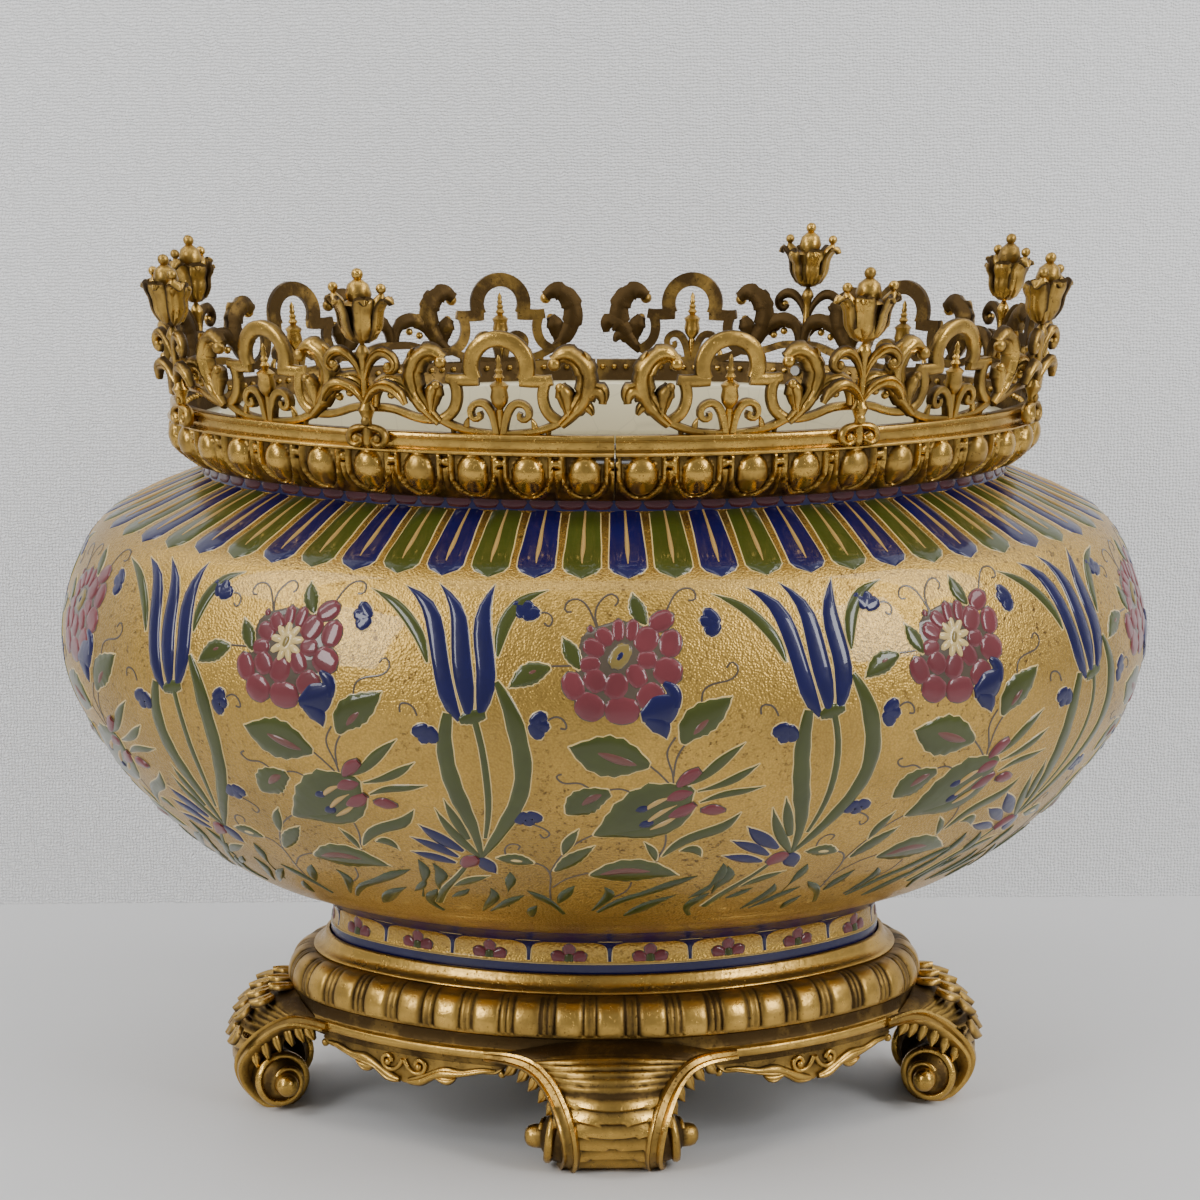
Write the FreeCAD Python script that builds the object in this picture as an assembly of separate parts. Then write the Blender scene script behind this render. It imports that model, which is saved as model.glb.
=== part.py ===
import FreeCAD, Part
import math
import os

V = FreeCAD.Vector
UP = V(0, 0, 1)

# Plan of the oval: four arcs about four vertical axes, all at one distance from the middle
bowl_width = 440.0
arc_axis_offset = 68.0
oval_flats = 56
round_sides = 8
joint_tolerance = 1e-6

# Heights of the stack, from the floor up
foot_height = 36.0
plinth_thickness = 13.0
fascia_height = 4.0
gadroon_height = 11.0
collar_height = 7.0
seat_pad_thickness = 2.0

# Porcelain bowl
foot_rim_half_width = 113.2
foot_rim_wall = 11.0
waist_inset = 1.2
waist_rise = 31.0
belly_rise = 112.6
ledge_rise = 68.0
neck_half_width = 160.6
ledge_proud = 1.4
neck_rise = 12.0
lip_flare = 6.9
lip_rise = 21.5
lip_edge_height = 3.0
neck_wall = 7.6
bowl_wall = 8.0
bowl_floor_thickness = 11.0
drain_diameter = 12.0

bowl_outer_rows = 11

# Rim mount, cast in two halves that meet at the front and at the back
rim_clearance = 0.5
rim_foot_width = 3.4
rim_rise_over_ledge = 4.4
rim_height = 25.6
ovolo_height = 15.5
ovolo_proud = 1.4
ovolo_rows = 4
rim_cover = 7.3
rim_band_width = 5.3
seam_gap = 0.6
seam_pin_diameter = 2.4
seam_pin_length = 14.0

# Pierced gallery, soldered on the rim
gallery_height = 35.6
gallery_thickness = 3.6
gallery_flare = 4.2
gallery_setback = 1.6
leaf_reach = 4.6
strap_width = 3.4
pendant_radius = 3.4
arches_per_side = 5
arch_steps = 7
scroll_steps = 6
pendant_sides = 6

# Finials, screwed on the outside of the rim
finial_rise = 60.6
finial_drop = 6.0
finial_depth = 4.2
finial_gap = 0.2
finial_half_span = 19.0
finial_foot_radius = 3.2
finial_strap_width = 3.0
stem_radius = 2.2
flower_half_width = 12.5
flower_half_depth = 8.5
bud_radius = 2.3
side_bud_spread = 11.0
side_bud_drop = 7.0
side_bud_stalk = 7.0
finial_sides = 6

# Socle: collar, gadroon ring and plinth
collar_wall = 1.8
collar_clearance = 0.6
collar_foot_width = 7.0
gadroon_reach = 17.5
gadroon_fascia_inset = 0.7
gadroon_shoulder_width = 9.2
gadroon_count = 41
gadroon_groove_width = 3.4
gadroon_groove_depth = 1.3
plinth_proud = 1.3
plinth_frieze_height = 3.5
plinth_frieze_depth = 2.6
plinth_strap_height = 3.7
plinth_cove_depth = 3.4
plinth_opening_inset = 44.0

# Feet
foot_reach = 22.6
foot_half_width = 17.0
foot_flare_half_width = 42.0
foot_inner_reach = 30.0
foot_flange_thickness = 5.0
foot_leaf_rise = 12.0
volute_centre_out = 5.7
volute_centre_z = 11.6
volute_radius = 11.4
volute_depth = 10.0
volute_face_radius = 8.2
volute_boss_radius = 4.4
volute_boss_depth = 7.0
volute_step = 0.8
volute_sides = 12

# Aprons between the feet
apron_half_width = 42.0
apron_drop = 11.2
apron_thickness = 3.4

# Fixings
bolt_diameter = 8.0
bolt_head_diameter = 26.0
bolt_head_height = 5.0
bolt_end_length = 4.0
bolt_clearance = 1.0
washer_diameter = 34.0
washer_thickness = 2.0
nut_diameter = 15.0
nut_height = 6.5
bridge_width = 30.0
bridge_thickness = 4.0
bridge_overlap = 12.0
foot_screw_diameter = 4.0
foot_screw_head_diameter = 7.0
foot_screw_head_height = 2.4
foot_screw_length = 14.0
foot_screw_spread = 20.0
finial_screw_diameter = 2.4
finial_screw_head_diameter = 4.4
finial_screw_head_height = 1.4
finial_screw_bite = 3.0
screw_clearance = 0.1
pad_edge = 1.5
overrun = 20.0

# Levels
plinth_z = foot_height
plinth_top = plinth_z + plinth_thickness
gadroon_z = plinth_top + fascia_height
gadroon_top = gadroon_z + gadroon_height
collar_top = gadroon_top + collar_height
bowl_z = plinth_top + seat_pad_thickness
waist_z = bowl_z + waist_rise
belly_z = waist_z + belly_rise
ledge_z = belly_z + ledge_rise
lip_z = ledge_z + lip_rise
bowl_floor_z = waist_z - bowl_wall
belly_half_width = bowl_width / 2
waist_half_width = foot_rim_half_width - waist_inset
ledge_half_width = neck_half_width + ledge_proud
lip_half_width = neck_half_width + lip_flare
mouth_half_width = neck_half_width - neck_wall
rim_z = ledge_z + rim_rise_over_ledge
rim_top = rim_z + rim_height
fascia_half_width = lip_half_width + rim_cover
ovolo_half_width = fascia_half_width + ovolo_proud
band_inner_half_width = fascia_half_width - rim_band_width
gallery_outer = fascia_half_width - gallery_setback
gallery_z = rim_top
finial_z = rim_top - finial_drop
finial_screw_z = finial_z + finial_foot_radius
seam_pin_levels = (rim_z + rim_height * 0.62, rim_z + rim_height * 0.84)
collar_inner = foot_rim_half_width + collar_clearance
gadroon_half_width = foot_rim_half_width + gadroon_reach
gadroon_fascia_half_width = gadroon_half_width - gadroon_fascia_inset
plinth_half_width = gadroon_half_width + plinth_proud
plinth_opening_half_width = plinth_half_width - plinth_opening_inset
nut_z = plinth_z - bridge_thickness - washer_thickness - nut_height

# Shares of the distance round the oval, from the front middle towards the right
arch_pitch_share = 0.1029
first_arch_share = 0.0442
finial_first_share = 0.0957
finials_per_side = 4
missing_finials = 1


def arc_length(half_width):
    """Whole length round the oval of this half-width."""
    return math.pi * (2 * (half_width - arc_axis_offset) + math.sqrt(2) * arc_axis_offset)


def on_oval(half_width, angle):
    """Point on the oval where its outward normal has this angle in degrees from +X."""
    quarter = round(angle / 90) % 4
    if quarter % 2 == 0:
        centre = V(arc_axis_offset * (1 - quarter), 0, 0)
        radius = half_width - arc_axis_offset
    else:
        centre = V(0, arc_axis_offset * (quarter - 2), 0)
        radius = half_width + (math.sqrt(2) - 1) * arc_axis_offset
    turn = math.radians(angle)
    return centre + V(radius * math.cos(turn), radius * math.sin(turn), 0)


def normal_angle(half_width, share):
    """Angle of the outward normal at a share of the way round from the front middle."""
    end_radius = half_width - arc_axis_offset
    side_radius = half_width + (math.sqrt(2) - 1) * arc_axis_offset
    side_run = side_radius * math.pi / 2
    end_run = end_radius * math.pi / 2
    run = share % 1.0 * arc_length(half_width) + side_run / 2
    arcs = ((side_run, -135), (end_run, -45), (side_run, 45), (end_run, 135), (side_run, 225))
    for length, start in arcs:
        if run < length:
            return start + 90 * run / length
        run = run - length
    return start


def station(half_width, share):
    """Point on the oval at a share of the way round, and its normal's angle."""
    angle = normal_angle(half_width, share)
    return on_oval(half_width, angle), angle


def curved(points, rows):
    """Chords along the smooth curve through these points, as many as there are rows."""
    curve = Part.BSplineCurve()
    curve.interpolate([V(x, 0, z) for x, z in points])
    return [(p.x, p.z) for p in curve.discretize(Number=rows + 1)][1:]


def flat_face(corners):
    return Part.Face(Part.makePolygon(corners + [corners[0]]))


def skin(near, far):
    """Faces between two loops of as many points, flat ones whole and twisted ones as triangles."""
    faces = []
    count = len(near)
    for k in range(count):
        corners = []
        for point in (near[k], near[(k + 1) % count], far[(k + 1) % count], far[k]):
            if not any(point.isEqual(other, joint_tolerance) for other in corners):
                corners.append(point)
        if len(corners) < 3:
            continue
        if len(corners) == 4:
            a, b, c, d = corners
            twist = (b - a).cross(c - a).dot(d - a)
            if abs(twist) > joint_tolerance * (b - a).Length * (c - a).Length:
                faces.append(flat_face([a, b, c]))
                faces.append(flat_face([a, c, d]))
                continue
        faces.append(flat_face(corners))
    return faces


def faceted(loops, closed=False):
    """Solid with flat faces through loops of points, with caps or joined end to end."""
    faces = []
    for near, far in zip(loops, loops[1:]):
        faces = faces + skin(near, far)
    if closed:
        faces = faces + skin(loops[-1], loops[0])
    else:
        faces = faces + [flat_face(loops[0]), flat_face(loops[-1])]
    shell = Part.Shell(faces)
    solid = Part.Solid(shell)
    if solid.Volume < 0:
        solid.reverse()
    return solid


def joined(solids):
    """One solid from pieces that share faces or run into each other."""
    return solids[0].fuse(solids[1:]).removeSplitter()


def oval_loop(points, angle):
    """Profile of half-width and height points set on the oval at one normal angle."""
    loop = []
    for half_width, z in points:
        place = on_oval(half_width, angle)
        loop.append(V(place.x, place.y, z))
    return loop


def oval_ring(points, side="all"):
    """Carries a closed profile round the oval, or round its right or left half with a gap at the seams."""
    step = 360 / oval_flats
    if side == "all":
        return faceted([oval_loop(points, -90 + step * k) for k in range(oval_flats)], True)
    start = -90 if side == "right" else 90
    ring = faceted([oval_loop(points, start + step * k) for k in range(oval_flats // 2 + 1)])
    tall = overrun + gallery_height + rim_height
    seam = Part.makeBox(seam_gap, bowl_width, tall, V(-seam_gap / 2, -bowl_width / 2, rim_z - overrun))
    return ring.cut(seam)


def oval_plate(half_width, z, height):
    """Solid oval plate."""
    step = 360 / oval_flats
    loops = []
    for level in (z, z + height):
        loop = [on_oval(half_width, -90 + step * k) for k in range(oval_flats)]
        loops.append([V(p.x, p.y, level) for p in loop])
    return faceted(loops)


def post(radius, height, centre, sides, axis="up"):
    """Round bar with flats, upright, or lying along the tangent or outward."""
    loops = []
    for reach in (0, height):
        loop = []
        for k in range(sides):
            turn = 2 * math.pi * (k + 0.5) / sides
            a, b = radius * math.cos(turn), radius * math.sin(turn)
            offsets = {"up": V(a, b, reach), "along": V(reach, a, b)}
            offsets.update({"out": V(a, -reach, b), "in": V(a, reach, b)})
            loop.append(centre + offsets[axis])
        loops.append(loop)
    return faceted(loops)


# Rises and half-widths of the bowl's outline, as shares of the way from waist to belly
lower_outline_shares = (
    (0.060, 0.079), (0.122, 0.238), (0.182, 0.351), (0.302, 0.526), (0.421, 0.667),
    (0.595, 0.816), (0.767, 0.930), (0.935, 0.993),
)
# The same from the belly to the ledge
upper_outline_shares = ((0.253, 0.047), (0.525, 0.136), (0.700, 0.252), (0.785, 0.378), (0.862, 0.603))
# Rises and half-widths of the bowl's inner face, as shares of the way from floor to belly and to the neck
inner_lower_shares = ((0.100, 0.100), (0.240, 0.340), (0.456, 0.657), (0.716, 0.881), (0.912, 0.988))
inner_upper_shares = ((0.359, 0.075), (0.646, 0.246), (0.763, 0.525), (0.896, 0.915))


def outline(shares, low, high):
    """Points at shares of the way between two points."""
    (a0, z0), (a1, z1) = low, high
    return [(a0 + (a1 - a0) * part, z0 + (z1 - z0) * rise) for rise, part in shares]


def make_bowl():
    """Rolled oval bowl on a foot rim, with a flared lip that the rim mount clasps."""
    foot_inner = foot_rim_half_width - foot_rim_wall
    waist = (waist_half_width, waist_z)
    belly = (belly_half_width, belly_z)
    ledge = (ledge_half_width, ledge_z)
    mouth = (mouth_half_width, ledge_z)
    floor = (foot_inner - bowl_wall, bowl_floor_z)
    inner_belly = (belly_half_width - bowl_wall, belly_z)
    outer = [waist] + outline(lower_outline_shares, waist, belly) + [belly]
    outer = outer + outline(upper_outline_shares, belly, ledge) + [ledge]
    inner = [floor] + outline(inner_lower_shares, floor, inner_belly) + [inner_belly]
    inner = inner + outline(inner_upper_shares, inner_belly, mouth) + [mouth]
    points = [(foot_inner, bowl_z), (foot_rim_half_width, bowl_z), waist]
    points = points + curved(outer, bowl_outer_rows)
    points.append((neck_half_width, ledge_z + neck_rise))
    points.append((lip_half_width, lip_z - lip_edge_height))
    points.append((lip_half_width - lip_edge_height, lip_z))
    points.append((mouth_half_width + bowl_wall / 2, lip_z))
    points = points + list(reversed(inner))
    points.append((floor[0], bowl_floor_z - bowl_floor_thickness))
    points.append((foot_inner, bowl_floor_z - bowl_floor_thickness))
    wall = oval_ring(points)
    floor_plate = oval_plate(floor[0], bowl_floor_z - bowl_floor_thickness, bowl_floor_thickness)
    drain_z = bowl_floor_z - bowl_floor_thickness - overrun
    drain = post(drain_diameter / 2, bowl_floor_thickness + 2 * overrun, V(0, 0, drain_z), round_sides)
    return joined([wall, floor_plate]).cut(drain)


def between_levels(bowl, low, high):
    """One of the moulded sections that are luted into the bowl, cut level at its seams."""
    block = Part.makeBox(2 * bowl_width, 2 * bowl_width, high - low, V(-bowl_width, -bowl_width, low))
    return bowl.common(block)


def make_rim(side):
    """Half of the cast rim: ovolo below, plain fascia above, hollow behind for the bowl's lip."""
    foot_inner = neck_half_width + rim_clearance
    foot_outer = foot_inner + rim_foot_width
    ovolo = [(foot_outer, rim_z)]
    ovolo.append((foot_outer + (ovolo_half_width - foot_outer) * 0.66, rim_z + ovolo_height * 0.25))
    ovolo.append((ovolo_half_width, rim_z + ovolo_height * 0.7))
    ovolo.append((fascia_half_width, rim_z + ovolo_height))
    points = [(foot_inner, rim_z), ovolo[0]] + curved(ovolo, ovolo_rows)
    points.append((fascia_half_width, rim_top))
    points.append((band_inner_half_width, rim_top))
    points.append((band_inner_half_width, lip_z - lip_edge_height))
    points.append((foot_inner, ledge_z + neck_rise))
    return oval_ring(points, side)


def spiral(centre, radii, start, end, steps, first_scale=1.0):
    """Points along an elliptic arc that opens evenly from first_scale, angles in degrees from +x up."""
    points = []
    for k in range(steps + 1):
        part = k / steps
        angle = math.radians(start + (end - start) * part)
        scale = first_scale + (1 - first_scale) * part
        x = centre[0] + radii[0] * scale * math.cos(angle)
        z = centre[1] + radii[1] * scale * math.sin(angle)
        points.append((x, z))
    return points


def ribbon(path, first_half, last_half):
    """Flat band along a path in the tangent and height plane, its half-width changing evenly."""
    count = len(path)
    left, right = [], []
    for k, (x, z) in enumerate(path):
        before, after = path[max(k - 1, 0)], path[min(k + 1, count - 1)]
        dx, dz = after[0] - before[0], after[1] - before[1]
        size = math.hypot(dx, dz)
        half = first_half + (last_half - first_half) * k / (count - 1)
        left.append(V(x - half * dz / size, 0, z + half * dx / size))
        right.append(V(x + half * dz / size, 0, z - half * dx / size))
    return flat_face(left + list(reversed(right)))


def mirrored(path, hand):
    return [(hand * x, z) for x, z in path]


def scaled(shares, wide, high):
    """Real points from shares of a width and a height."""
    return [(x * wide, z * high) for x, z in shares]


def stood(face, half_width, share, anchor, z, depth, lean=0.0):
    """Stands a flat outline on the oval, square to it at its own anchor, thickened inward and leant out."""
    solid = face.copy()
    solid.translate(V(-anchor, 0, 0))
    solid = solid.extrude(V(0, depth, 0))
    return set_out(solid, half_width, share + anchor / arc_length(half_width), z, lean)


def turned(levels, sides, x=0.0, y=0.0):
    """Faceted upright turning from levels of half-width, half-depth and height."""
    loops = []
    for wide, deep, z in levels:
        turns = [2 * math.pi * (k + 0.5) / sides for k in range(sides)]
        loops.append([V(x + wide * math.cos(t), y + deep * math.sin(t), z) for t in turns])
    return faceted(loops)


def set_out(solid, half_width, share, z, lean=0.0):
    """Moves a piece made at the origin, facing -Y, to its place on the oval."""
    point, angle = station(half_width, share)
    piece = solid.copy()
    piece.rotate(V(0, 0, 0), V(1, 0, 0), lean)
    piece.rotate(V(0, 0, 0), UP, angle + 90)
    piece.translate(V(point.x, point.y, z))
    return piece


def lean_angle(reach, height):
    return -math.degrees(math.atan(reach / height))


def finial_stations():
    """Shares of the finials round the oval; the back left place is empty."""
    right = [finial_first_share + arch_pitch_share * k for k in range(finials_per_side)]
    left = [-share for share in right[: finials_per_side - missing_finials]]
    return right, left


def finial_holes(clearance=0.0):
    """Shanks of the screws that hold the finials, through the rim's band at every place."""
    right = [finial_first_share + arch_pitch_share * k for k in range(finials_per_side)]
    shanks = []
    for share in right + [-share for share in right]:
        radius = finial_screw_diameter / 2 + clearance
        length = rim_band_width + finial_gap + finial_screw_bite
        shank = post(radius, length, V(0, 0, 0), round_sides, "out")
        shanks.append(set_out(shank, band_inner_half_width, share, finial_screw_z))
    return shanks


def seam_pins(clearance=0.0):
    """Pins across the two seams of the rim."""
    radius = seam_pin_diameter / 2 + clearance
    middle = (band_inner_half_width + fascia_half_width) / 2
    pins = []
    for share in (0.0, 0.5):
        for z in seam_pin_levels:
            length = seam_pin_length + 2 * clearance
            pin = post(radius, length, V(-length / 2, 0, 0), round_sides, "along")
            pins.append(set_out(pin, middle, share, z))
    return pins


# Gallery straps beside an arch: along as shares of half the pitch, up as shares of the height
strap_shares = (
    (0.15, 0.57), (0.36, 0.58), (0.365, 0.38), (0.46, 0.20), (0.62, 0.13), (0.80, 0.16), (1.01, 0.14),
)
seam_strap_shares = ((0.15, 0.57), (0.36, 0.58), (0.365, 0.38), (0.46, 0.20), (0.58, 0.19), (0.68, 0.30))
stem_leaf_shares = ((0.98, 0.24), (0.86, 0.48), (0.72, 0.47), (0.65, 0.34))
end_leaf_shares = ((0.52, 0.20), (0.68, 0.44), (0.82, 0.57), (0.90, 0.50), (0.91, 0.38))
side_leaf_shares = ((0.50, 0.20), (0.65, 0.46), (0.62, 0.78), (0.49, 0.90), (0.38, 0.80))
scroll_tie_shares = ((0.30, 0.03), (0.46, 0.13))
scroll_centre_shares = (0.175, 0.215)
scroll_radius_shares = (0.125, 0.175)
arch_centre_share = 0.69
arch_radius_shares = (0.21, 0.262)
pendant_radius_shares = (0.4, 0.4, 1.0, 0.7, 0.4)
pendant_rise_shares = (0.0, 0.36, 0.47, 0.60, 0.93)


def make_gallery(side):
    """Half of the pierced gallery: five arches on scrolls, with straps that run to the finials."""
    half = arc_length(gallery_outer) * arch_pitch_share / 2
    high = gallery_height
    lean = lean_angle(gallery_flare, gallery_height)
    leaf_lean = lean_angle(gallery_flare + leaf_reach, gallery_height)
    hand = 1 if side == "right" else -1
    middle = gallery_outer - gallery_thickness / 2
    slim, stout = strap_width * 0.42, strap_width * 0.62
    arch_radii = (arch_radius_shares[0] * half, arch_radius_shares[1] * high)
    arch_path = spiral((0, arch_centre_share * high), arch_radii, -28, 208, arch_steps)
    scroll_centre = (scroll_centre_shares[0] * half, scroll_centre_shares[1] * high)
    scroll_radii = (scroll_radius_shares[0] * half, scroll_radius_shares[1] * high)
    scroll = spiral(scroll_centre, scroll_radii, -80, 270, scroll_steps, 0.3)
    scroll = scroll + scaled(scroll_tie_shares, half, high)
    levels = []
    for wide, rise in zip(pendant_radius_shares, pendant_rise_shares):
        levels.append((wide * pendant_radius, wide * pendant_radius, rise * high))
    drop = turned(levels, pendant_sides)
    solids = []
    for arch in range(arches_per_side):
        share = hand * (first_arch_share + arch_pitch_share * arch)
        solids.append(set_out(drop, middle, share, gallery_z, lean))
        face = ribbon(arch_path, stout, stout)
        solids.append(stood(face, gallery_outer, share, 0, gallery_z, gallery_thickness, lean))
        for way in (-1, 1):
            at_front_seam = arch == 0 and way == -hand
            at_back_seam = arch == arches_per_side - 1 and way == hand
            at_seam = at_front_seam or at_back_seam
            strap = seam_strap_shares if at_seam else strap_shares
            bands = [
                (scaled(strap, half, high), stout, stout, lean),
                (scroll, slim, slim, lean),
                (scaled(side_leaf_shares, half, high), slim, strap_width, leaf_lean),
            ]
            if not at_seam:
                bands.append((scaled(stem_leaf_shares, half, high), stout, slim, leaf_lean))
            elif side == "right" or at_front_seam:
                bands.append((scaled(end_leaf_shares, half, high), stout, slim, leaf_lean))
            for path, first, last, tilt in bands:
                face = ribbon(mirrored(path, way), first, last)
                anchor = way * (path[0][0] + path[-1][0]) / 2
                solids.append(stood(face, gallery_outer, share, anchor, gallery_z, gallery_thickness, tilt))
    rim_below = oval_plate(fascia_half_width + overrun, rim_top - overrun, overrun)
    return joined(solids).cut(rim_below)


# Finial: half-widths as shares of the flower's, heights as shares of the rise over the rim
stem_levels_shares = ((0.16, 0.0), (0.20, 0.13), (0.11, 0.18), (0.10, 0.50), (0.22, 0.54), (0.14, 0.57))
flower_levels_shares = ((0.42, 0.61), (0.72, 0.69), (0.78, 0.77), (1.0, 0.83), (0.45, 0.84), (0.30, 0.91))
crook_shares = ((0.06, 0.28), (0.20, 0.43), (0.48, 0.51), (0.76, 0.46), (0.75, 0.37), (0.54, 0.37))
low_leaf_shares = ((0.06, 0.11), (0.32, 0.22), (0.64, 0.28), (0.94, 0.22), (1.0, 0.14))


def make_finial(share):
    """Flower on a stem with two curled leaves on each side, on a double-scroll foot."""
    rise = finial_rise
    back = finial_depth / 2
    levels = []
    for wide, z in stem_levels_shares:
        levels.append((wide * flower_half_width, wide * flower_half_width, finial_drop + z * rise))
    for wide, z in flower_levels_shares:
        levels.append((wide * flower_half_width, wide * flower_half_depth, finial_drop + z * rise))
    solids = [turned(levels, finial_sides, 0, -back)]
    tip = finial_drop + rise - bud_radius
    bud = ((0.5, -1.6), (1.0, 0.0), (0.5, 1.0))
    for x, z in ((0, tip), (-side_bud_spread, tip - side_bud_drop), (side_bud_spread, tip - side_bud_drop)):
        ball = [(wide * bud_radius, wide * bud_radius, z + up * bud_radius) for wide, up in bud]
        if x:
            ball = [(bud_radius * 0.5, bud_radius * 0.5, z - side_bud_stalk)] + ball
        solids.append(turned(ball, finial_sides, x, -back))
    half = finial_strap_width / 2
    for hand in (-1, 1):
        x = hand * finial_foot_radius * 1.3
        centre = V(x, 0, finial_foot_radius)
        solids.append(post(finial_foot_radius, finial_depth, centre, finial_sides + 2, "out"))
        for table in (crook_shares, low_leaf_shares):
            path = [(wide * finial_half_span, finial_drop + z * rise) for wide, z in table]
            blade = ribbon(mirrored(path, hand), half, half * 0.8)
            solids.append(blade.extrude(V(0, -finial_depth, 0)))
    tie = ribbon([(0, finial_foot_radius * 0.6), (0, finial_drop + rise * 0.1)], stem_radius, stem_radius)
    solids.append(tie.extrude(V(0, -finial_depth, 0)))
    lean = lean_angle(gallery_flare, gallery_height)
    finial = set_out(joined(solids), fascia_half_width + finial_gap, share, finial_z, lean)
    return finial.cut(finial_holes(screw_clearance))


def make_collar():
    """Plain flared band round the bowl's foot."""
    outer = collar_inner + collar_wall
    foot = collar_inner + collar_foot_width
    drop = collar_top - gadroon_top
    points = [(collar_inner, gadroon_top), (collar_inner, collar_top), (outer, collar_top)]
    points.append((outer + collar_wall * 0.5, collar_top - drop * 0.45))
    points.append((outer + (foot - outer) * 0.45, collar_top - drop * 0.78))
    points.append((foot, gadroon_top))
    return oval_ring(points)


def gadroon_outline(inset):
    """Outer outline of the gadroon moulding, from its top down to the fascia."""
    top = gadroon_half_width - gadroon_shoulder_width
    span = gadroon_half_width - top
    rise = gadroon_height
    points = [(top, gadroon_top), (top + span * 0.55 - inset, gadroon_top - rise * 0.13 - inset)]
    points.append((top + span * 0.9 - inset, gadroon_top - rise * 0.48))
    points.append((gadroon_half_width - inset, gadroon_z + rise * 0.22))
    return points


def make_gadroon_ring():
    """Half-round moulding cut by cross grooves into gadroons, on a plain fascia."""
    inner = [(collar_inner, plinth_top), (collar_inner, gadroon_top)]
    base = [(gadroon_fascia_half_width, gadroon_z), (gadroon_fascia_half_width, plinth_top)]
    full = inner + gadroon_outline(0) + base
    low = inner + gadroon_outline(gadroon_groove_depth) + base
    groove_share = gadroon_groove_width / arc_length(gadroon_half_width)
    loops = []
    for k in range(gadroon_count):
        start = (k + 0.5) / gadroon_count
        for share, outline_points in (
            (start - groove_share / 2, full), (start - groove_share / 2, low),
            (start + groove_share / 2, low), (start + groove_share / 2, full),
        ):
            loops.append(oval_loop(outline_points, normal_angle(gadroon_half_width, share)))
    return faceted(loops, True)


def make_plinth():
    """Cast oval plate with a bright strap round its edge, open in the middle."""
    edge = plinth_half_width
    frieze_top = plinth_z + plinth_frieze_height
    strap_top = frieze_top + plinth_strap_height
    points = [(plinth_opening_half_width, plinth_z), (edge - plinth_frieze_depth, plinth_z)]
    points = points + [(edge - plinth_frieze_depth, frieze_top), (edge, frieze_top), (edge, strap_top)]
    points.append((edge - plinth_cove_depth * 0.8, strap_top + (plinth_top - strap_top) * 0.25))
    points = points + [(edge - plinth_cove_depth, plinth_top), (plinth_opening_half_width, plinth_top)]
    return oval_ring(points).cut(foot_screws(screw_clearance))


# Foot: reach from the plinth's edge as shares of the foot's reach, heights as shares of the plinth's level
foot_section_shares = (
    (-0.05, 1.33), (0.40, 1.27), (0.82, 1.03), (1.0, 0.75), (0.95, 0.42), (0.66, 0.12),
    (0.36, 0.0), (0.04, 0.0), (-0.20, 0.15), (-0.25, 0.33), (-0.14, 0.52), (0.06, 0.62), (-0.28, 0.74),
)
foot_front_shares = ((1.0, 0.0), (1.0, 0.33), (1.06, 0.61), (1.3, 0.8), (1.75, 0.97))
foot_plan_shares = ((1.0, 0.0), (0.72, 0.14), (0.53, 0.40), (0.43, 1.2))
foot_crest_share = 0.8


def make_foot(share):
    """Scroll foot: a C section that flares into the plinth's edge, with a volute on each flank."""
    side = [(out * foot_reach, up * plinth_z) for out, up in foot_section_shares]
    side.append((-foot_inner_reach * 0.45, plinth_z - foot_flange_thickness))
    side.append((-foot_inner_reach, plinth_z - foot_flange_thickness))
    side = side + [(-foot_inner_reach, plinth_z), (-foot_inner_reach * 0.45, plinth_z), (0, plinth_top)]
    wide = foot_flare_half_width + overrun
    corners = [V(-wide, -out, z) for out, z in side]
    block = flat_face(corners).extrude(V(2 * wide, 0, 0))
    strap_top = plinth_z + plinth_frieze_height + plinth_strap_height
    edge = [(half * foot_half_width, up * plinth_z) for half, up in foot_front_shares]
    edge.append((foot_flare_half_width, plinth_z + plinth_frieze_height))
    edge.append((foot_flare_half_width, strap_top))
    edge = edge + [(foot_half_width * foot_crest_share * 1.3, strap_top)]
    edge = edge + [(foot_half_width * foot_crest_share, plinth_z + foot_leaf_rise)]
    front = edge + list(reversed(mirrored(edge, -1)))
    corners = [V(x, -foot_reach - overrun, z) for x, z in front]
    reach = foot_reach + foot_inner_reach + 2 * overrun
    block = block.common(flat_face(corners).extrude(V(0, reach, 0)))
    plan = [(half * foot_flare_half_width, out * foot_reach) for half, out in foot_plan_shares]
    plan = [(foot_flare_half_width, -foot_inner_reach - overrun)] + plan
    outline_points = plan + list(reversed(mirrored(plan, -1)))
    corners = [V(x, -out, 0) for x, out in outline_points]
    block = block.common(flat_face(corners).extrude(V(0, 0, plinth_z * 2)))
    solids = [block]
    for hand in (-1, 1):
        solids.append(make_volute(hand))
    foot = set_out(joined(solids), plinth_half_width, share, 0)
    return foot.cut([plinth_blank(), gadroon_blank()] + foot_screws(screw_clearance))


def make_volute(hand):
    """Conical volute on the foot's flank, with a boss in its eye."""
    root = foot_half_width * 0.8
    levels = [(volute_radius, root), (volute_radius, foot_half_width)]
    levels = levels + [(volute_face_radius, root + volute_depth)]
    levels.append((volute_boss_radius, root + volute_depth + volute_step))
    levels.append((volute_boss_radius * 0.6, root + volute_depth + volute_boss_depth))
    loops = []
    turns = [2 * math.pi * (k + 0.5) / volute_sides for k in range(volute_sides)]
    for radius, x in levels:
        loop = []
        for t in turns:
            out = volute_centre_out + radius * math.cos(t)
            loop.append(V(hand * x, -out, volute_centre_z + radius * math.sin(t)))
        loops.append(loop)
    return faceted(loops)


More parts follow.
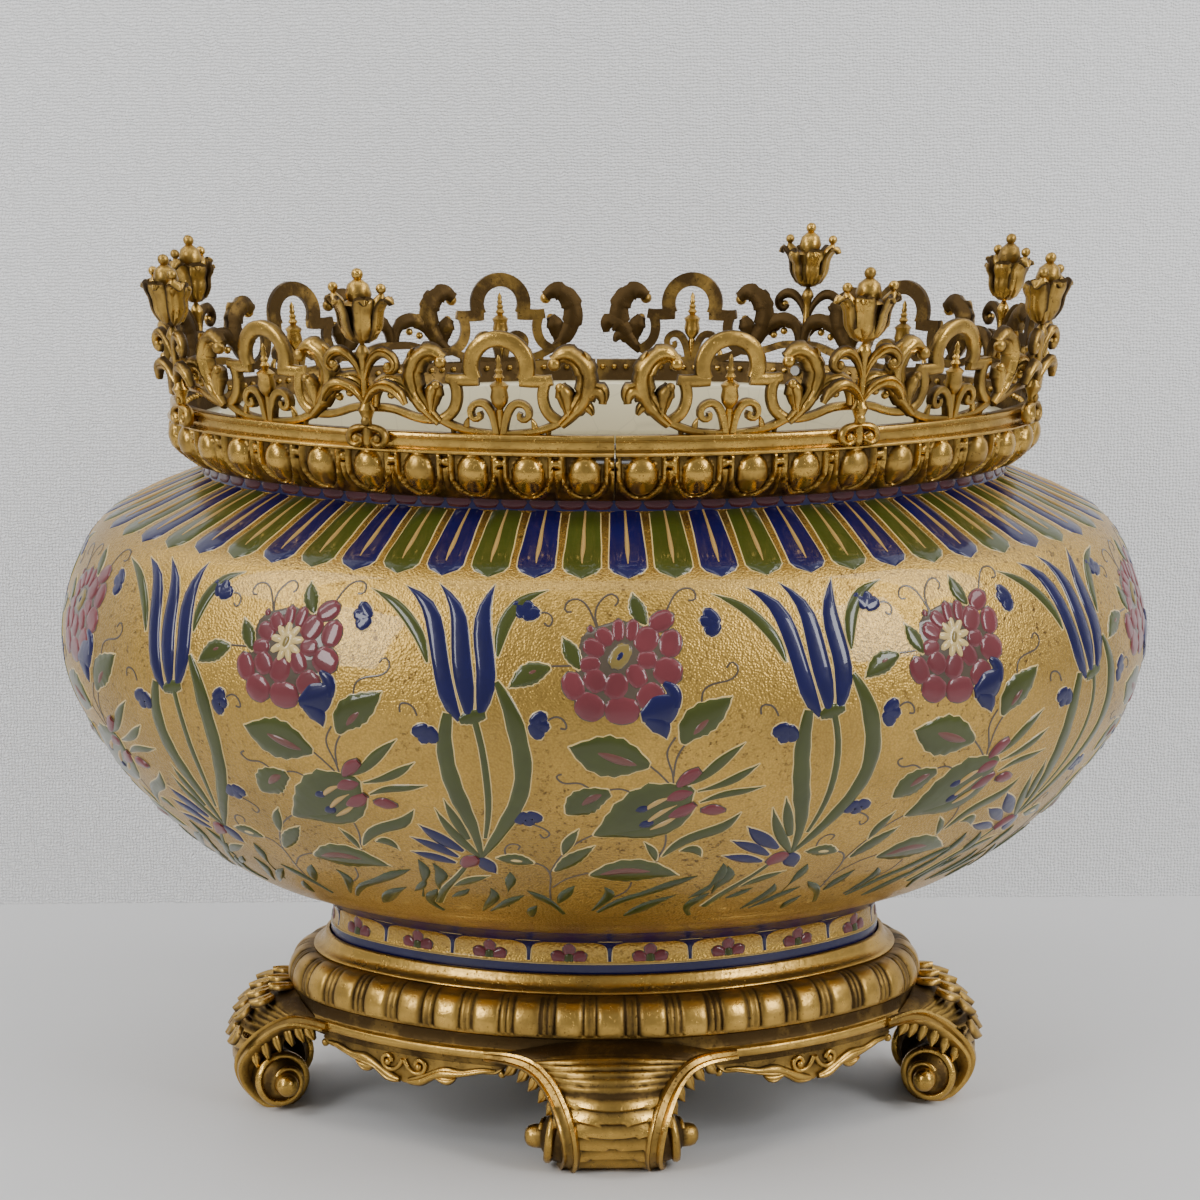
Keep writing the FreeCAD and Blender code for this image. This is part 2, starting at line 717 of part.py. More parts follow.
def plinth_blank():
    """Space that the plinth fills, for the feet to fit against."""
    edge = plinth_half_width
    frieze_top = plinth_z + plinth_frieze_height
    strap_top = frieze_top + plinth_strap_height
    lower = oval_plate(edge - plinth_frieze_depth, plinth_z, plinth_frieze_height)
    strap = oval_plate(edge, frieze_top, plinth_strap_height)
    upper = oval_plate(edge - plinth_cove_depth * 0.4, strap_top, plinth_top - strap_top)
    return lower.fuse([strap, upper])


def gadroon_blank():
    """Space that the gadroon ring fills above the plinth."""
    return oval_plate(gadroon_half_width, plinth_top - pad_edge, gadroon_height + fascia_height + pad_edge)


# Apron outline: along the tangent as shares of its half-width, down as shares of its drop
apron_shares = (
    (1.0, 0.0), (1.0, 0.26), (0.90, 0.34), (0.74, 0.30), (0.60, 0.48), (0.44, 0.46), (0.30, 0.74),
    (0.14, 0.80), (0.0, 1.0),
)


def make_apron(share):
    """Scalloped pendant plate under the plinth's edge, half-way between two feet."""
    edge = [(x * apron_half_width, plinth_z - z * apron_drop) for x, z in apron_shares]
    points = edge + list(reversed(mirrored(edge[:-1], -1)))
    corners = [V(x, -overrun, z) for x, z in points]
    block = flat_face(corners).extrude(V(0, 2 * overrun, 0))
    outer = plinth_half_width - plinth_frieze_depth
    ring_points = [(outer - apron_thickness, plinth_z - apron_drop), (outer, plinth_z - apron_drop)]
    ring_points = ring_points + [(outer, plinth_z), (outer - apron_thickness, plinth_z)]
    return set_out(block, outer, share, 0).common(oval_ring(ring_points))


def foot_screws(clearance=0.0):
    """Two screws up through each foot's flange into the plinth."""
    screws = []
    flange_z = plinth_z - foot_flange_thickness
    shank_radius = foot_screw_diameter / 2 + clearance
    for share in foot_stations:
        for hand in (-1, 1):
            centre = V(hand * foot_screw_spread / 2, foot_inner_reach * 0.75, flange_z)
            screw = post(shank_radius, foot_screw_length + clearance, centre, round_sides)
            if not clearance:
                head = centre - V(0, 0, foot_screw_head_height)
                radius = foot_screw_head_diameter / 2
                screw = screw.fuse(post(radius, foot_screw_head_height, head, round_sides))
            screws.append(set_out(screw, plinth_half_width, share, 0))
    return screws


def finial_screws():
    """Screws from inside the mouth that hold the finials; the empty place has none."""
    right, left = finial_stations()
    screws = []
    for share in right + left:
        length = rim_band_width + finial_gap + finial_screw_bite - screw_clearance
        shank = post(finial_screw_diameter / 2, length, V(0, 0, 0), round_sides, "out")
        head = post(finial_screw_head_diameter / 2, finial_screw_head_height, V(0, 0, 0), round_sides, "in")
        screws.append(set_out(shank.fuse(head), band_inner_half_width, share, finial_screw_z))
    return screws


def make_seat_pad():
    inner = foot_rim_half_width - foot_rim_wall + pad_edge
    outer = foot_rim_half_width - pad_edge
    points = [(inner, plinth_top), (outer, plinth_top), (outer, bowl_z), (inner, bowl_z)]
    return oval_ring(points)


def make_bolt():
    """Clamp bolt through the bowl's drain hole, its round head on the floor washer."""
    head_z = bowl_floor_z + washer_thickness
    end_z = nut_z - bolt_end_length
    shank = post(bolt_diameter / 2, head_z - end_z, V(0, 0, end_z), round_sides)
    return shank.fuse(post(bolt_head_diameter / 2, bolt_head_height, V(0, 0, head_z), 2 * round_sides))


def make_bridge():
    """Flat bar across the plinth's opening that the bolt pulls against."""
    reach = plinth_opening_half_width - (2 - math.sqrt(2)) * arc_axis_offset + bridge_overlap
    z = plinth_z - bridge_thickness
    bar = Part.makeBox(bridge_width, 2 * reach, bridge_thickness, V(-bridge_width / 2, -reach, z))
    return bar.cut(post((bolt_diameter + bolt_clearance) / 2, 2 * overrun, V(0, 0, z - overrun), round_sides))


def make_washer(z):
    plate = post(washer_diameter / 2, washer_thickness, V(0, 0, z), 2 * round_sides)
    return plate.cut(post((bolt_diameter + bolt_clearance) / 2, washer_thickness, V(0, 0, z), round_sides))


def make_nut():
    levels = [(nut_diameter / 2, nut_diameter / 2, z) for z in (nut_z, nut_z + nut_height)]
    nut = turned(levels, 6)
    return nut.cut(post((bolt_diameter + screw_clearance) / 2, nut_height, V(0, 0, nut_z), round_sides))


foot_stations = (0.0, 0.25, 0.5, 0.75)
foot_names = ("front", "right", "back", "left")
apron_names = ("front_right", "back_right", "back_left", "front_left")

nodes = {}
bowl = make_bowl()
nodes["porcelain_foot"] = between_levels(bowl, bowl_z - overrun, waist_z)
nodes["porcelain_bowl"] = between_levels(bowl, waist_z, belly_z)
nodes["porcelain_shoulder"] = between_levels(bowl, belly_z, lip_z + overrun)
for side_name in ("right", "left"):
    holes = finial_holes(screw_clearance) + seam_pins(screw_clearance)
    nodes["rim_mount_" + side_name] = make_rim(side_name).cut(holes)
    nodes["gallery_" + side_name] = make_gallery(side_name)
right_places, left_places = finial_stations()
for number, place in enumerate(right_places):
    nodes["finial_right_" + str(number + 1)] = make_finial(place)
for number, place in enumerate(left_places):
    nodes["finial_left_" + str(number + 1)] = make_finial(place)
nodes["socle_collar"] = make_collar()
nodes["gadroon_ring"] = make_gadroon_ring()
nodes["plinth"] = make_plinth()
for number, place in enumerate(foot_stations):
    nodes["foot_" + foot_names[number]] = make_foot(place)
    nodes["apron_" + apron_names[number]] = make_apron(place + foot_stations[1] / 2)
nodes["seat_pad"] = make_seat_pad()
nodes["floor_washer"] = make_washer(bowl_floor_z)
nodes["clamp_bolt"] = make_bolt()
nodes["clamp_bridge"] = make_bridge()
nodes["bridge_washer"] = make_washer(nut_z + nut_height)
nodes["clamp_nut"] = make_nut()
nodes["seam_pins"] = Part.makeCompound(seam_pins())
nodes["finial_screws"] = Part.makeCompound(finial_screws())
nodes["foot_screws"] = Part.makeCompound(foot_screws())

os.makedirs("parts", exist_ok=True)
for name, shape in nodes.items():
    if len(shape.Solids) == 1:
        shape = shape.Solids[0]
    print(name, len(shape.Solids), shape.isValid(), round(shape.Volume))
    shape.exportStep("parts/" + name + ".step")
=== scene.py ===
import math

import bmesh
import bpy
import mathutils
import numpy as np
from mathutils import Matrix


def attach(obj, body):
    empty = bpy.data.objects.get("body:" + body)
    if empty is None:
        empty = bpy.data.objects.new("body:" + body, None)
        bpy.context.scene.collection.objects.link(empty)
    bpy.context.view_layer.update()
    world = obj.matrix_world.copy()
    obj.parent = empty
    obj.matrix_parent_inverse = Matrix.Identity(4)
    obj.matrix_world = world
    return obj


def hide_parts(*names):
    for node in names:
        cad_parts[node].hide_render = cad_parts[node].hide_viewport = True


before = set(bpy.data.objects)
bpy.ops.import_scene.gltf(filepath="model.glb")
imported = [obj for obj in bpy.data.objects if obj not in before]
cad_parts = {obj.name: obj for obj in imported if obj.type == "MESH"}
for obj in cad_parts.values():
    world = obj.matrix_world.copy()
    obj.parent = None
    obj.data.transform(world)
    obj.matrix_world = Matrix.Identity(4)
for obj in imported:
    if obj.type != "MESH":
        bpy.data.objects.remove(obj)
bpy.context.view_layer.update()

bl_info = {
    "name": "Oval mounted jardiniere",
    "version": (1, 0, 0),
    "blender": (4, 5, 0),
    "location": "View3D > Sidebar > Jardiniere",
    "description": "Builds the glazed bowl, its gilt bronze mounts and the stage around the packed solids",
    "category": "Object",
}

MM = 0.001
# Points this near, in metres, are one, and shorter edges are taken out
WELD = 1.5e-6
SHORTEST_EDGE = 1e-6

# Plan of the oval: four arcs about axes this far from the middle, in millimetres like every size below
AXIS_OFFSET = 68.0
SIDE_GAIN = math.sqrt(2) - 1

# Levels of the stack
PLINTH_Z = 36.0
RIM_TOP = 292.6

# Half-widths on the oval
PLINTH_EDGE = 132.0
FRIEZE = 129.4
BAND_OUTER = 174.8
BAND_INNER = 169.5
GALLERY_FACE = 173.2
BELLY = 219.6
PAINTED_FOOT = 112.4
GADROON_FACE = 126.0

# Columns of a plain ring round the oval
TURNS = 288

# The gallery and the finials lean out by this much for each millimetre up
LEAN = 4.2 / 35.6

# Height of enamels: plain strokes, strokes over a leaf, gold slits in a leaf
PLAIN_RISE, OVER_RISE, SLIT_RISE = 0.62, 1.1, 1.6

# Places round the oval, as shares of its length from the front middle towards the right
ARCH_PITCH = 0.1029
FIRST_ARCH = 0.0442
FIRST_FINIAL = 0.0957


# Plan of the oval


def oval_length(half_width):
    """Length round the oval: two quarter arcs of each radius."""
    side = half_width + SIDE_GAIN * AXIS_OFFSET
    end = half_width - AXIS_OFFSET
    return math.pi * (side + end)


def normal_angle(half_width, share):
    """Angle of the outward normal from the front: each arc turns a quarter evenly along its length."""
    side = (half_width + SIDE_GAIN * AXIS_OFFSET) * math.pi / 2
    end = (half_width - AXIS_OFFSET) * math.pi / 2
    run = (share % 1.0) * 2 * (side + end)
    angle = -math.pi / 4
    start = -side / 2
    for length in (side, end, side, end, side):
        angle = angle + math.pi / 2 * np.clip((run - start) / length, 0, 1)
        start = start + length
    return angle


def share_of(half_width, angle):
    """Share of the length where the normal has this angle: the inverse of normal_angle."""
    side = (half_width + SIDE_GAIN * AXIS_OFFSET) * math.pi / 2
    end = (half_width - AXIS_OFFSET) * math.pi / 2
    turns = (angle % (2 * math.pi)) / (math.pi / 2)
    run = side * np.clip(turns, 0, 0.5)
    for start, length, span in ((0.5, end, 1), (1.5, side, 1), (2.5, end, 1), (3.5, side, 0.5)):
        run = run + length * np.clip(turns - start, 0, span)
    return run / (2 * (side + end))


def oval_point(half_width, angle):
    """Point of the oval with this normal: the arc's centre plus its radius along the normal."""
    quarter = np.round(angle / (math.pi / 2)).astype(int) % 4
    across = np.where(quarter == 1, 1.0, np.where(quarter == 3, -1.0, 0.0))
    ahead = np.where(quarter == 0, 1.0, np.where(quarter == 2, -1.0, 0.0))
    radius = np.where(quarter % 2 == 0, half_width + SIDE_GAIN * AXIS_OFFSET, half_width - AXIS_OFFSET)
    x = across * AXIS_OFFSET + radius * np.sin(angle)
    y = ahead * AXIS_OFFSET - radius * np.cos(angle)
    return x, y


def stood(local, share, half_width, base=0.0, lean=0.0):
    """Bends local points (along, out, up) round the oval, further out by lean for each millimetre up."""
    local = np.asarray(local, float)
    angle = normal_angle(half_width, share + local[..., 0] / oval_length(half_width))
    x, y = oval_point(half_width + local[..., 1] + lean * local[..., 2], angle)
    return np.stack([x, y, base + local[..., 2]], -1)


def planted(local, share, half_width, base=0.0):
    """Puts local points (along, out, up) square to the oval at one station, unbent."""
    local = np.asarray(local, float)
    angle = float(normal_angle(half_width, np.array(share)))
    x, y = oval_point(half_width, np.array(angle))
    sin, cos = math.sin(angle), math.cos(angle)
    along, out = local[..., 0], local[..., 1]
    return np.stack([x + along * cos + out * sin, y + along * sin - out * cos, base + local[..., 2]], -1)


# Curves, sections and meshes


def knots_of(points):
    """Distances along the chords of a line of points."""
    return np.concatenate([[0.0], np.cumsum(np.linalg.norm(np.diff(points, axis=0), axis=1))])


def spline(knots, values, at):
    """Natural cubic spline: its second slopes solve the three-term equations between the knots."""
    values = np.asarray(values, float)
    flat = values.reshape(len(knots), -1)
    step = np.diff(knots)
    count = len(knots)
    matrix = np.eye(count)
    right = np.zeros_like(flat)
    for k in range(1, count - 1):
        matrix[k, k - 1 : k + 2] = step[k - 1], 2 * (step[k - 1] + step[k]), step[k]
        right[k] = 6 * ((flat[k + 1] - flat[k]) / step[k] - (flat[k] - flat[k - 1]) / step[k - 1])
    bend = np.linalg.solve(matrix, right)
    place = np.clip(np.searchsorted(knots, at, side="right") - 1, 0, count - 2)
    width = step[place][:, None]
    far = (np.asarray(at) - knots[place])[:, None]
    near = width - far
    made = (bend[place] * near**3 + bend[place + 1] * far**3) / (6 * width)
    made = made + (flat[place] / width - bend[place] * width / 6) * near
    made = made + (flat[place + 1] / width - bend[place + 1] * width / 6) * far
    return made.reshape((len(at),) + values.shape[1:])


def smooth_line(points, count):
    """Even steps along the spline through some points."""
    points = np.asarray(points, float)
    knots = knots_of(points)
    return spline(knots, points, np.linspace(0, knots[-1], count))


def smooth_widths(points, widths, count):
    """Half-widths along the same spline, never below nothing."""
    knots = knots_of(np.asarray(points, float))
    return np.clip(spline(knots, np.asarray(widths, float), np.linspace(0, knots[-1], count)), 0, None)


# Sections as (across, outward) shares of half-width and half-depth, once round
STRAP = np.array([(-1, -1), (-1, 0.35), (-0.72, 0.85), (0, 1), (0.72, 0.85), (1, 0.35), (1, -1)])
RIDGED = np.array(
    [
        (-1, -1), (-1, 0.5), (-0.7, 1), (-0.45, 0.45), (0.2, 0.45), (0.45, 1.15), (0.85, 1.15), (1, 0.4),
        (1, -1),
    ]
)
LEAF = np.array(
    [
        (-1, -0.5), (-0.82, 0.3), (-0.5, 0.78), (-0.2, 0.98), (0.12, 0.92), (0.32, 0.55), (0.5, 0.72),
        (0.82, 0.5), (1, -0.5), (0.4, -1), (-0.4, -1),
    ]
)
ROUND = np.array([(math.cos(t), math.sin(t)) for t in np.arange(8) * math.pi / 4])
DOME = np.array([(-1, -0.35), (-0.9, 0.5), (-0.45, 0.92), (0, 1), (0.45, 0.92), (0.9, 0.5), (1, -0.35)])


def swept(path, widths, depths, section, count, lobes=0, bite=0.0):
    """Carries a section along a smooth path: path point + across x width + outward x depth.
    With lobes, the width falls off in as many saw teeth, as the edge of an acanthus leaf does."""
    path = np.asarray(path, float)
    if path.shape[1] == 2:
        path = np.stack([path[:, 0], np.zeros(len(path)), path[:, 1]], 1)
    line = smooth_line(path, count)
    wide = smooth_widths(path, np.broadcast_to(widths, len(path)), count)
    wide = wide * (1 - bite * (np.linspace(0, lobes, count) % 1.0))
    deep = smooth_widths(path, np.broadcast_to(depths, len(path)), count)
    ahead = np.gradient(line, axis=0)
    ahead = ahead / np.linalg.norm(ahead, axis=1)[:, None]
    side = np.cross(ahead, (0, 1, 0))
    side = side / (np.linalg.norm(side, axis=1)[:, None] + 1e-9)
    out = np.cross(side, ahead)
    grid = line[:, None] + side[:, None] * (wide[:, None] * section[None, :, 0])[..., None]
    return grid + out[:, None] * (deep[:, None] * section[None, :, 1])[..., None]


def mirrored(grid, hand):
    """The same points on the other side of the middle."""
    grid = np.array(grid, float)
    grid[..., 0] = grid[..., 0] * hand
    return grid


def turned(levels, sides, centre=(0.0, 0.0)):
    """Turning: at each (radius, height) a circle of points about an upright axis."""
    levels = np.asarray(levels, float)
    turn = np.arange(sides) * 2 * math.pi / sides
    x = centre[0] + levels[:, :1] * np.cos(turn)
    y = centre[1] + levels[:, :1] * np.sin(turn)
    return np.stack([x, y, np.broadcast_to(levels[:, 1:2], x.shape)], -1)


def ball(centre, radius, sides=10, rows=7):
    """Sphere: circles whose radius is the sine and whose height is the cosine of an even turn."""
    fall = np.linspace(0, math.pi, rows)
    made = turned(np.stack([radius * np.sin(fall) + 1e-4, -radius * np.cos(fall)], 1), sides)
    return made + np.asarray(centre, float)


class Mould:
    """Gathers tubes of points, in millimetres, into one closed mesh with a height value at each point."""

    def __init__(self):
        self.points, self.proud, self.quads, self.caps, self.total = [], [], [], [], 0

    def tube(self, grid, proud=1.0, ring=False):
        """Rows of closed loops: joined end to end as a ring, or capped flat at both ends."""
        rows, columns = grid.shape[:2]
        index = self.total + np.arange(rows * columns).reshape(rows, columns)
        turn = np.roll(index, -1, axis=1)
        if ring:
            near, far = index, np.roll(index, -1, axis=0)
            near_turn, far_turn = turn, np.roll(turn, -1, axis=0)
        else:
            near, far, near_turn, far_turn = index[:-1], index[1:], turn[:-1], turn[1:]
            self.caps = self.caps + [index[0][::-1], index[-1]]
        self.quads.append(np.stack([near, near_turn, far_turn, far], -1).reshape(-1, 4))
        self.points.append(grid.reshape(-1, 3))
        self.proud.append(np.broadcast_to(proud, grid.shape[:2]).reshape(-1).astype(np.float32))
        self.total += rows * columns

    def cast(self, name, material, slot, replaces=(), sharp=50.0):
        """Turns what was gathered into a finished piece that rides on the frame. Points nearer than the weld
        are joined, and edges under the sharp angle, in degrees, are smooth."""
        points = np.concatenate(self.points) * MM
        quads = np.concatenate(self.quads)
        loops = np.concatenate([quads.ravel()] + [np.asarray(c) for c in self.caps]).astype(np.int32)
        sizes = np.array([4] * len(quads) + [len(c) for c in self.caps], np.int32)
        mesh = bpy.data.meshes.new(name)
        mesh.vertices.add(len(points))
        mesh.vertices.foreach_set("co", points.astype(np.float32).ravel())
        mesh.loops.add(len(loops))
        mesh.loops.foreach_set("vertex_index", loops)
        mesh.polygons.add(len(sizes))
        mesh.polygons.foreach_set("loop_start", np.concatenate([[0], np.cumsum(sizes)[:-1]]).astype(np.int32))
        mesh.polygons.foreach_set("loop_total", sizes)
        height = mesh.attributes.new("proud", "FLOAT", "POINT")
        height.data.foreach_set("value", np.concatenate(self.proud))
        mesh.update(calc_edges=True)
        work = bmesh.new()
        work.from_mesh(mesh)
        bmesh.ops.remove_doubles(work, verts=work.verts, dist=WELD)
        bmesh.ops.dissolve_degenerate(work, edges=work.edges, dist=SHORTEST_EDGE)
        bmesh.ops.recalc_face_normals(work, faces=work.faces)
        work.to_mesh(mesh)
        work.free()
        mesh.polygons.foreach_set("use_smooth", np.ones(len(mesh.polygons), bool))
        mesh.set_sharp_from_angle(angle=math.radians(sharp))
        piece = bpy.data.objects.new(name, mesh)
        bpy.context.scene.collection.objects.link(piece)
        mesh.materials.append(material)
        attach(piece, "root")
        if replaces:
            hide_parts(*replaces)
        return piece


# Finishes


# Rays that see the plain background: straight, mirrored and refracted sight
SEEING_RAYS = ("Is Camera Ray", "Is Glossy Ray", "Is Transmission Ray")


class Wire:
    """An output socket; sums on it add Math nodes."""

    def __init__(self, nodes, socket):
        self.nodes, self.socket = nodes, socket

    def math(self, operation, first, second):
        return self.nodes.node("Math", {"operation": operation}, {0: first, 1: second})

    def __add__(self, other):
        return self.math("ADD", self, other)

    def __sub__(self, other):
        return self.math("SUBTRACT", self, other)

    def __mul__(self, other):
        return self.math("MULTIPLY", self, other)

    def __rsub__(self, other):
        return self.math("SUBTRACT", other, self)

    def largest(self, other):
        return self.math("MAXIMUM", self, other)

    __radd__ = __add__
    __rmul__ = __mul__


class Nodes:
    """A node tree with the one method that adds to it."""

    def __init__(self, tree):
        self.tree = tree

    def node(self, kind, settings=None, sockets=None, out=0):
        """Adds a node, sets its settings, then its sockets' values or links, and gives one output."""
        made = self.tree.nodes.new("ShaderNode" + kind)
        for name, value in (settings or {}).items():
            if name == "stops":
                while len(made.color_ramp.elements) < len(value):
                    made.color_ramp.elements.new(0.5)
                for element, (place, colour) in zip(made.color_ramp.elements, value):
                    element.position = place
                    element.color = colour
            else:
                setattr(made, name, value)
        for name, value in (sockets or {}).items():
            if isinstance(value, Wire):
                self.tree.links.new(value.socket, made.inputs[name])
            else:
                made.inputs[name].default_value = value
        return Wire(self, made.outputs[out])

    def surface(self, output, share, first, second):
        """Gives the output a mix of two shaders."""
        mixed = self.node("MixShader", None, {0: share, 1: first, 2: second})
        self.tree.links.new(mixed.socket, self.tree.nodes[output].inputs["Surface"])

    def seen(self):
        """One for the rays that see the plain background, else nothing."""
        share = 0.0
        for kind in SEEING_RAYS:
            share = self.node("LightPath", out=kind).largest(share)
        return share


class Finish(Nodes):
    """One material: a node tree around its Principled shader."""

    def __init__(self, name, **constants):
        self.material = bpy.data.materials.new(name)
        self.material.use_nodes = True
        super().__init__(self.material.node_tree)
        self.shader = self.tree.nodes["Principled BSDF"]
        for socket, value in constants.items():
            self.shader.inputs[socket.replace("_", " ")].default_value = value
        self.place = self.node("TexCoord", out="Object")

    def noise(self, scale, detail=2.0, roughness=0.5):
        sockets = {"Vector": self.place, "Scale": scale, "Detail": detail, "Roughness": roughness}
        return self.node("TexNoise", None, sockets)

    def cells(self, scale, feature="F1", smoothness=None):
        sockets = {"Vector": self.place, "Scale": scale}
        if smoothness is not None:
            sockets["Smoothness"] = smoothness
        return self.node("TexVoronoi", {"feature": feature}, sockets)

    def between(self, value, low, high):
        """A ramp from nothing at low to one at high."""
        sockets = {"Value": value, "From Min": low, "From Max": high}
        return self.node("MapRange", {"clamp": True}, sockets)

    def blend(self, share, first, second):
        sockets = {0: share, 6: first, 7: second}
        return self.node("Mix", {"data_type": "RGBA"}, sockets, 2)

    def proud(self):
        return self.node("Attribute", {"attribute_name": "proud"}, None, "Fac")

    def paint(self, **sockets):
        for name, value in sockets.items():
            self.tree.links.new(value.socket, self.shader.inputs[name.replace("_", " ")])

    def relief(self, height, distance, strength=1.0):
        sockets = {"Strength": strength, "Distance": distance, "Height": height}
        self.paint(Normal=self.node("Bump", None, sockets))

    def fade_out(self, near, far, colour):
        """Turns a sheet into the plain background between two distances from its middle."""
        away = self.node("VectorMath", {"operation": "LENGTH"}, {0: self.place}, "Value")
        share = self.between(away, near, far) * self.seen()
        shine = self.node("Emission", None, {"Color": colour, "Strength": 1.0})
        self.surface("Material Output", share, Wire(self, self.shader.outputs[0]), shine)

    def one_sided(self):
        """Leaves the sheet's back clear, so that it hides nothing that stands in front of it."""
        behind, clear = self.node("NewGeometry", out="Backfacing"), self.node("BsdfTransparent")
        self.surface("Material Output", behind, Wire(self, self.shader.outputs[0]), clear)


def colour_of(value, gain=1.0):
    """A property's colour, brightened or darkened, with full alpha."""
    return tuple(min(1.0, c * gain) for c in value[:3]) + (1.0,)


# Glazed bowl and its enamels

# Outline of the painted wall from the foot to the ledge: height along the wall, half-width, level
WALL = np.array(
    [
        (0.0, 112.4, 75.6), (6.4, 112.3, 82.0), (17.2, 120.6, 88.7), (35.8, 137.8, 95.7),
        (62.7, 160.9, 109.4), (93.3, 184.1, 129.4), (127.0, 204.9, 155.6), (148.8, 215.2, 174.8),
        (168.1, 219.6, 193.5), (192.8, 216.6, 217.9), (212.4, 208.8, 236.0), (223.0, 202.6, 244.3),
        (228.4, 198.1, 247.2), (242.6, 185.2, 252.9), (254.6, 174.2, 257.7), (267.6, 162.2, 262.6),
    ]
)
# Fine steps along the wall, for reading the outline and its normal at any height
STEPS = np.linspace(0, WALL[-1, 0], 900)
HALF, LEVEL = spline(WALL[:, 0], WALL[:, 1:], STEPS).T
LEAN_OUT, LEAN_UP = np.gradient(LEVEL, STEPS), -np.gradient(HALF, STEPS)
# Neck inside the rim, the lip and the inner face down to the floor's edge: half-width, level
BOWL_INNER = (
    (161.6, 264.0), (160.8, 274.6), (166.9, 280.2), (167.5, 281.4), (167.0, 283.2), (164.5, 284.1),
    (157.6, 284.1), (156.4, 283.2), (153.4, 263.6), (155.0, 259.6), (160.0, 255.4), (170.0, 250.8),
    (181.0, 246.4), (190.5, 242.4), (197.5, 237.6), (203.4, 229.6), (207.6, 218.6), (210.6, 206.6),
    (211.8, 195.0), (210.4, 183.6), (205.4, 172.2), (198.0, 160.3), (186.0, 144.0), (171.6, 129.4),
    (154.0, 115.6), (134.3, 103.4), (118.0, 95.4), (106.0, 86.4), (99.0, 79.0), (96.4, 75.4),
    (94.2, 74.0),
)


def on_bowl(across, along, height, angle):
    """Point at a height over the glaze: the wall's point there, moved along the wall's own normal."""
    half = np.interp(along, STEPS, HALF)
    out = height * np.interp(along, STEPS, LEAN_OUT)
    up = height * np.interp(along, STEPS, LEAN_UP)
    share = share_of(half, angle) + across / oval_length(half)
    x, y = oval_point(half + out, normal_angle(half, share))
    return np.stack([x, y, np.interp(along, STEPS, LEVEL) + up], -1)


def blade(points, widths, rise, count=11, sink=0.25, waves=0):
    """Enamel stroke in (across, along, height): a low dome swept along a smooth line, edges in the ground.
    With waves, its width swings a little as many times, as a painted leaf's edge does."""
    points = np.asarray(points, float)
    line = smooth_line(points, count)
    wide = smooth_widths(points, np.broadcast_to(widths, len(points)), count)
    wide = wide * (1 + 0.055 * np.sin(np.linspace(0, 2 * math.pi * waves, count)))
    ahead = np.gradient(line, axis=0)
    ahead = ahead / (np.linalg.norm(ahead, axis=1)[:, None] + 1e-9)
    side = np.stack([-ahead[:, 1], ahead[:, 0]], 1)
    flat = line[:, None] + side[:, None] * (wide[:, None] * DOME[None, :, 0])[..., None]
    lift = np.clip(wide / 1.5, 0.4, 1)[:, None] * rise * DOME[None, :, 1]
    lift = np.where(DOME[None, :, 1] < 0, -sink, lift)
    return np.concatenate([flat, lift[..., None]], -1)


def petal(x, along, half_wide, half_long, turn):
    """Rounded blade about a centre: a line of its length, with half-width the root of one less the square."""
    turn = math.radians(turn)
    reach = np.sin(np.linspace(-1, 1, 7) * math.pi / 2)
    points = np.stack([x + half_long * reach * math.sin(turn), along + half_long * reach * math.cos(turn)], 1)
    return points, half_wide * np.sqrt(np.clip(1 - reach**2, 0, 1))


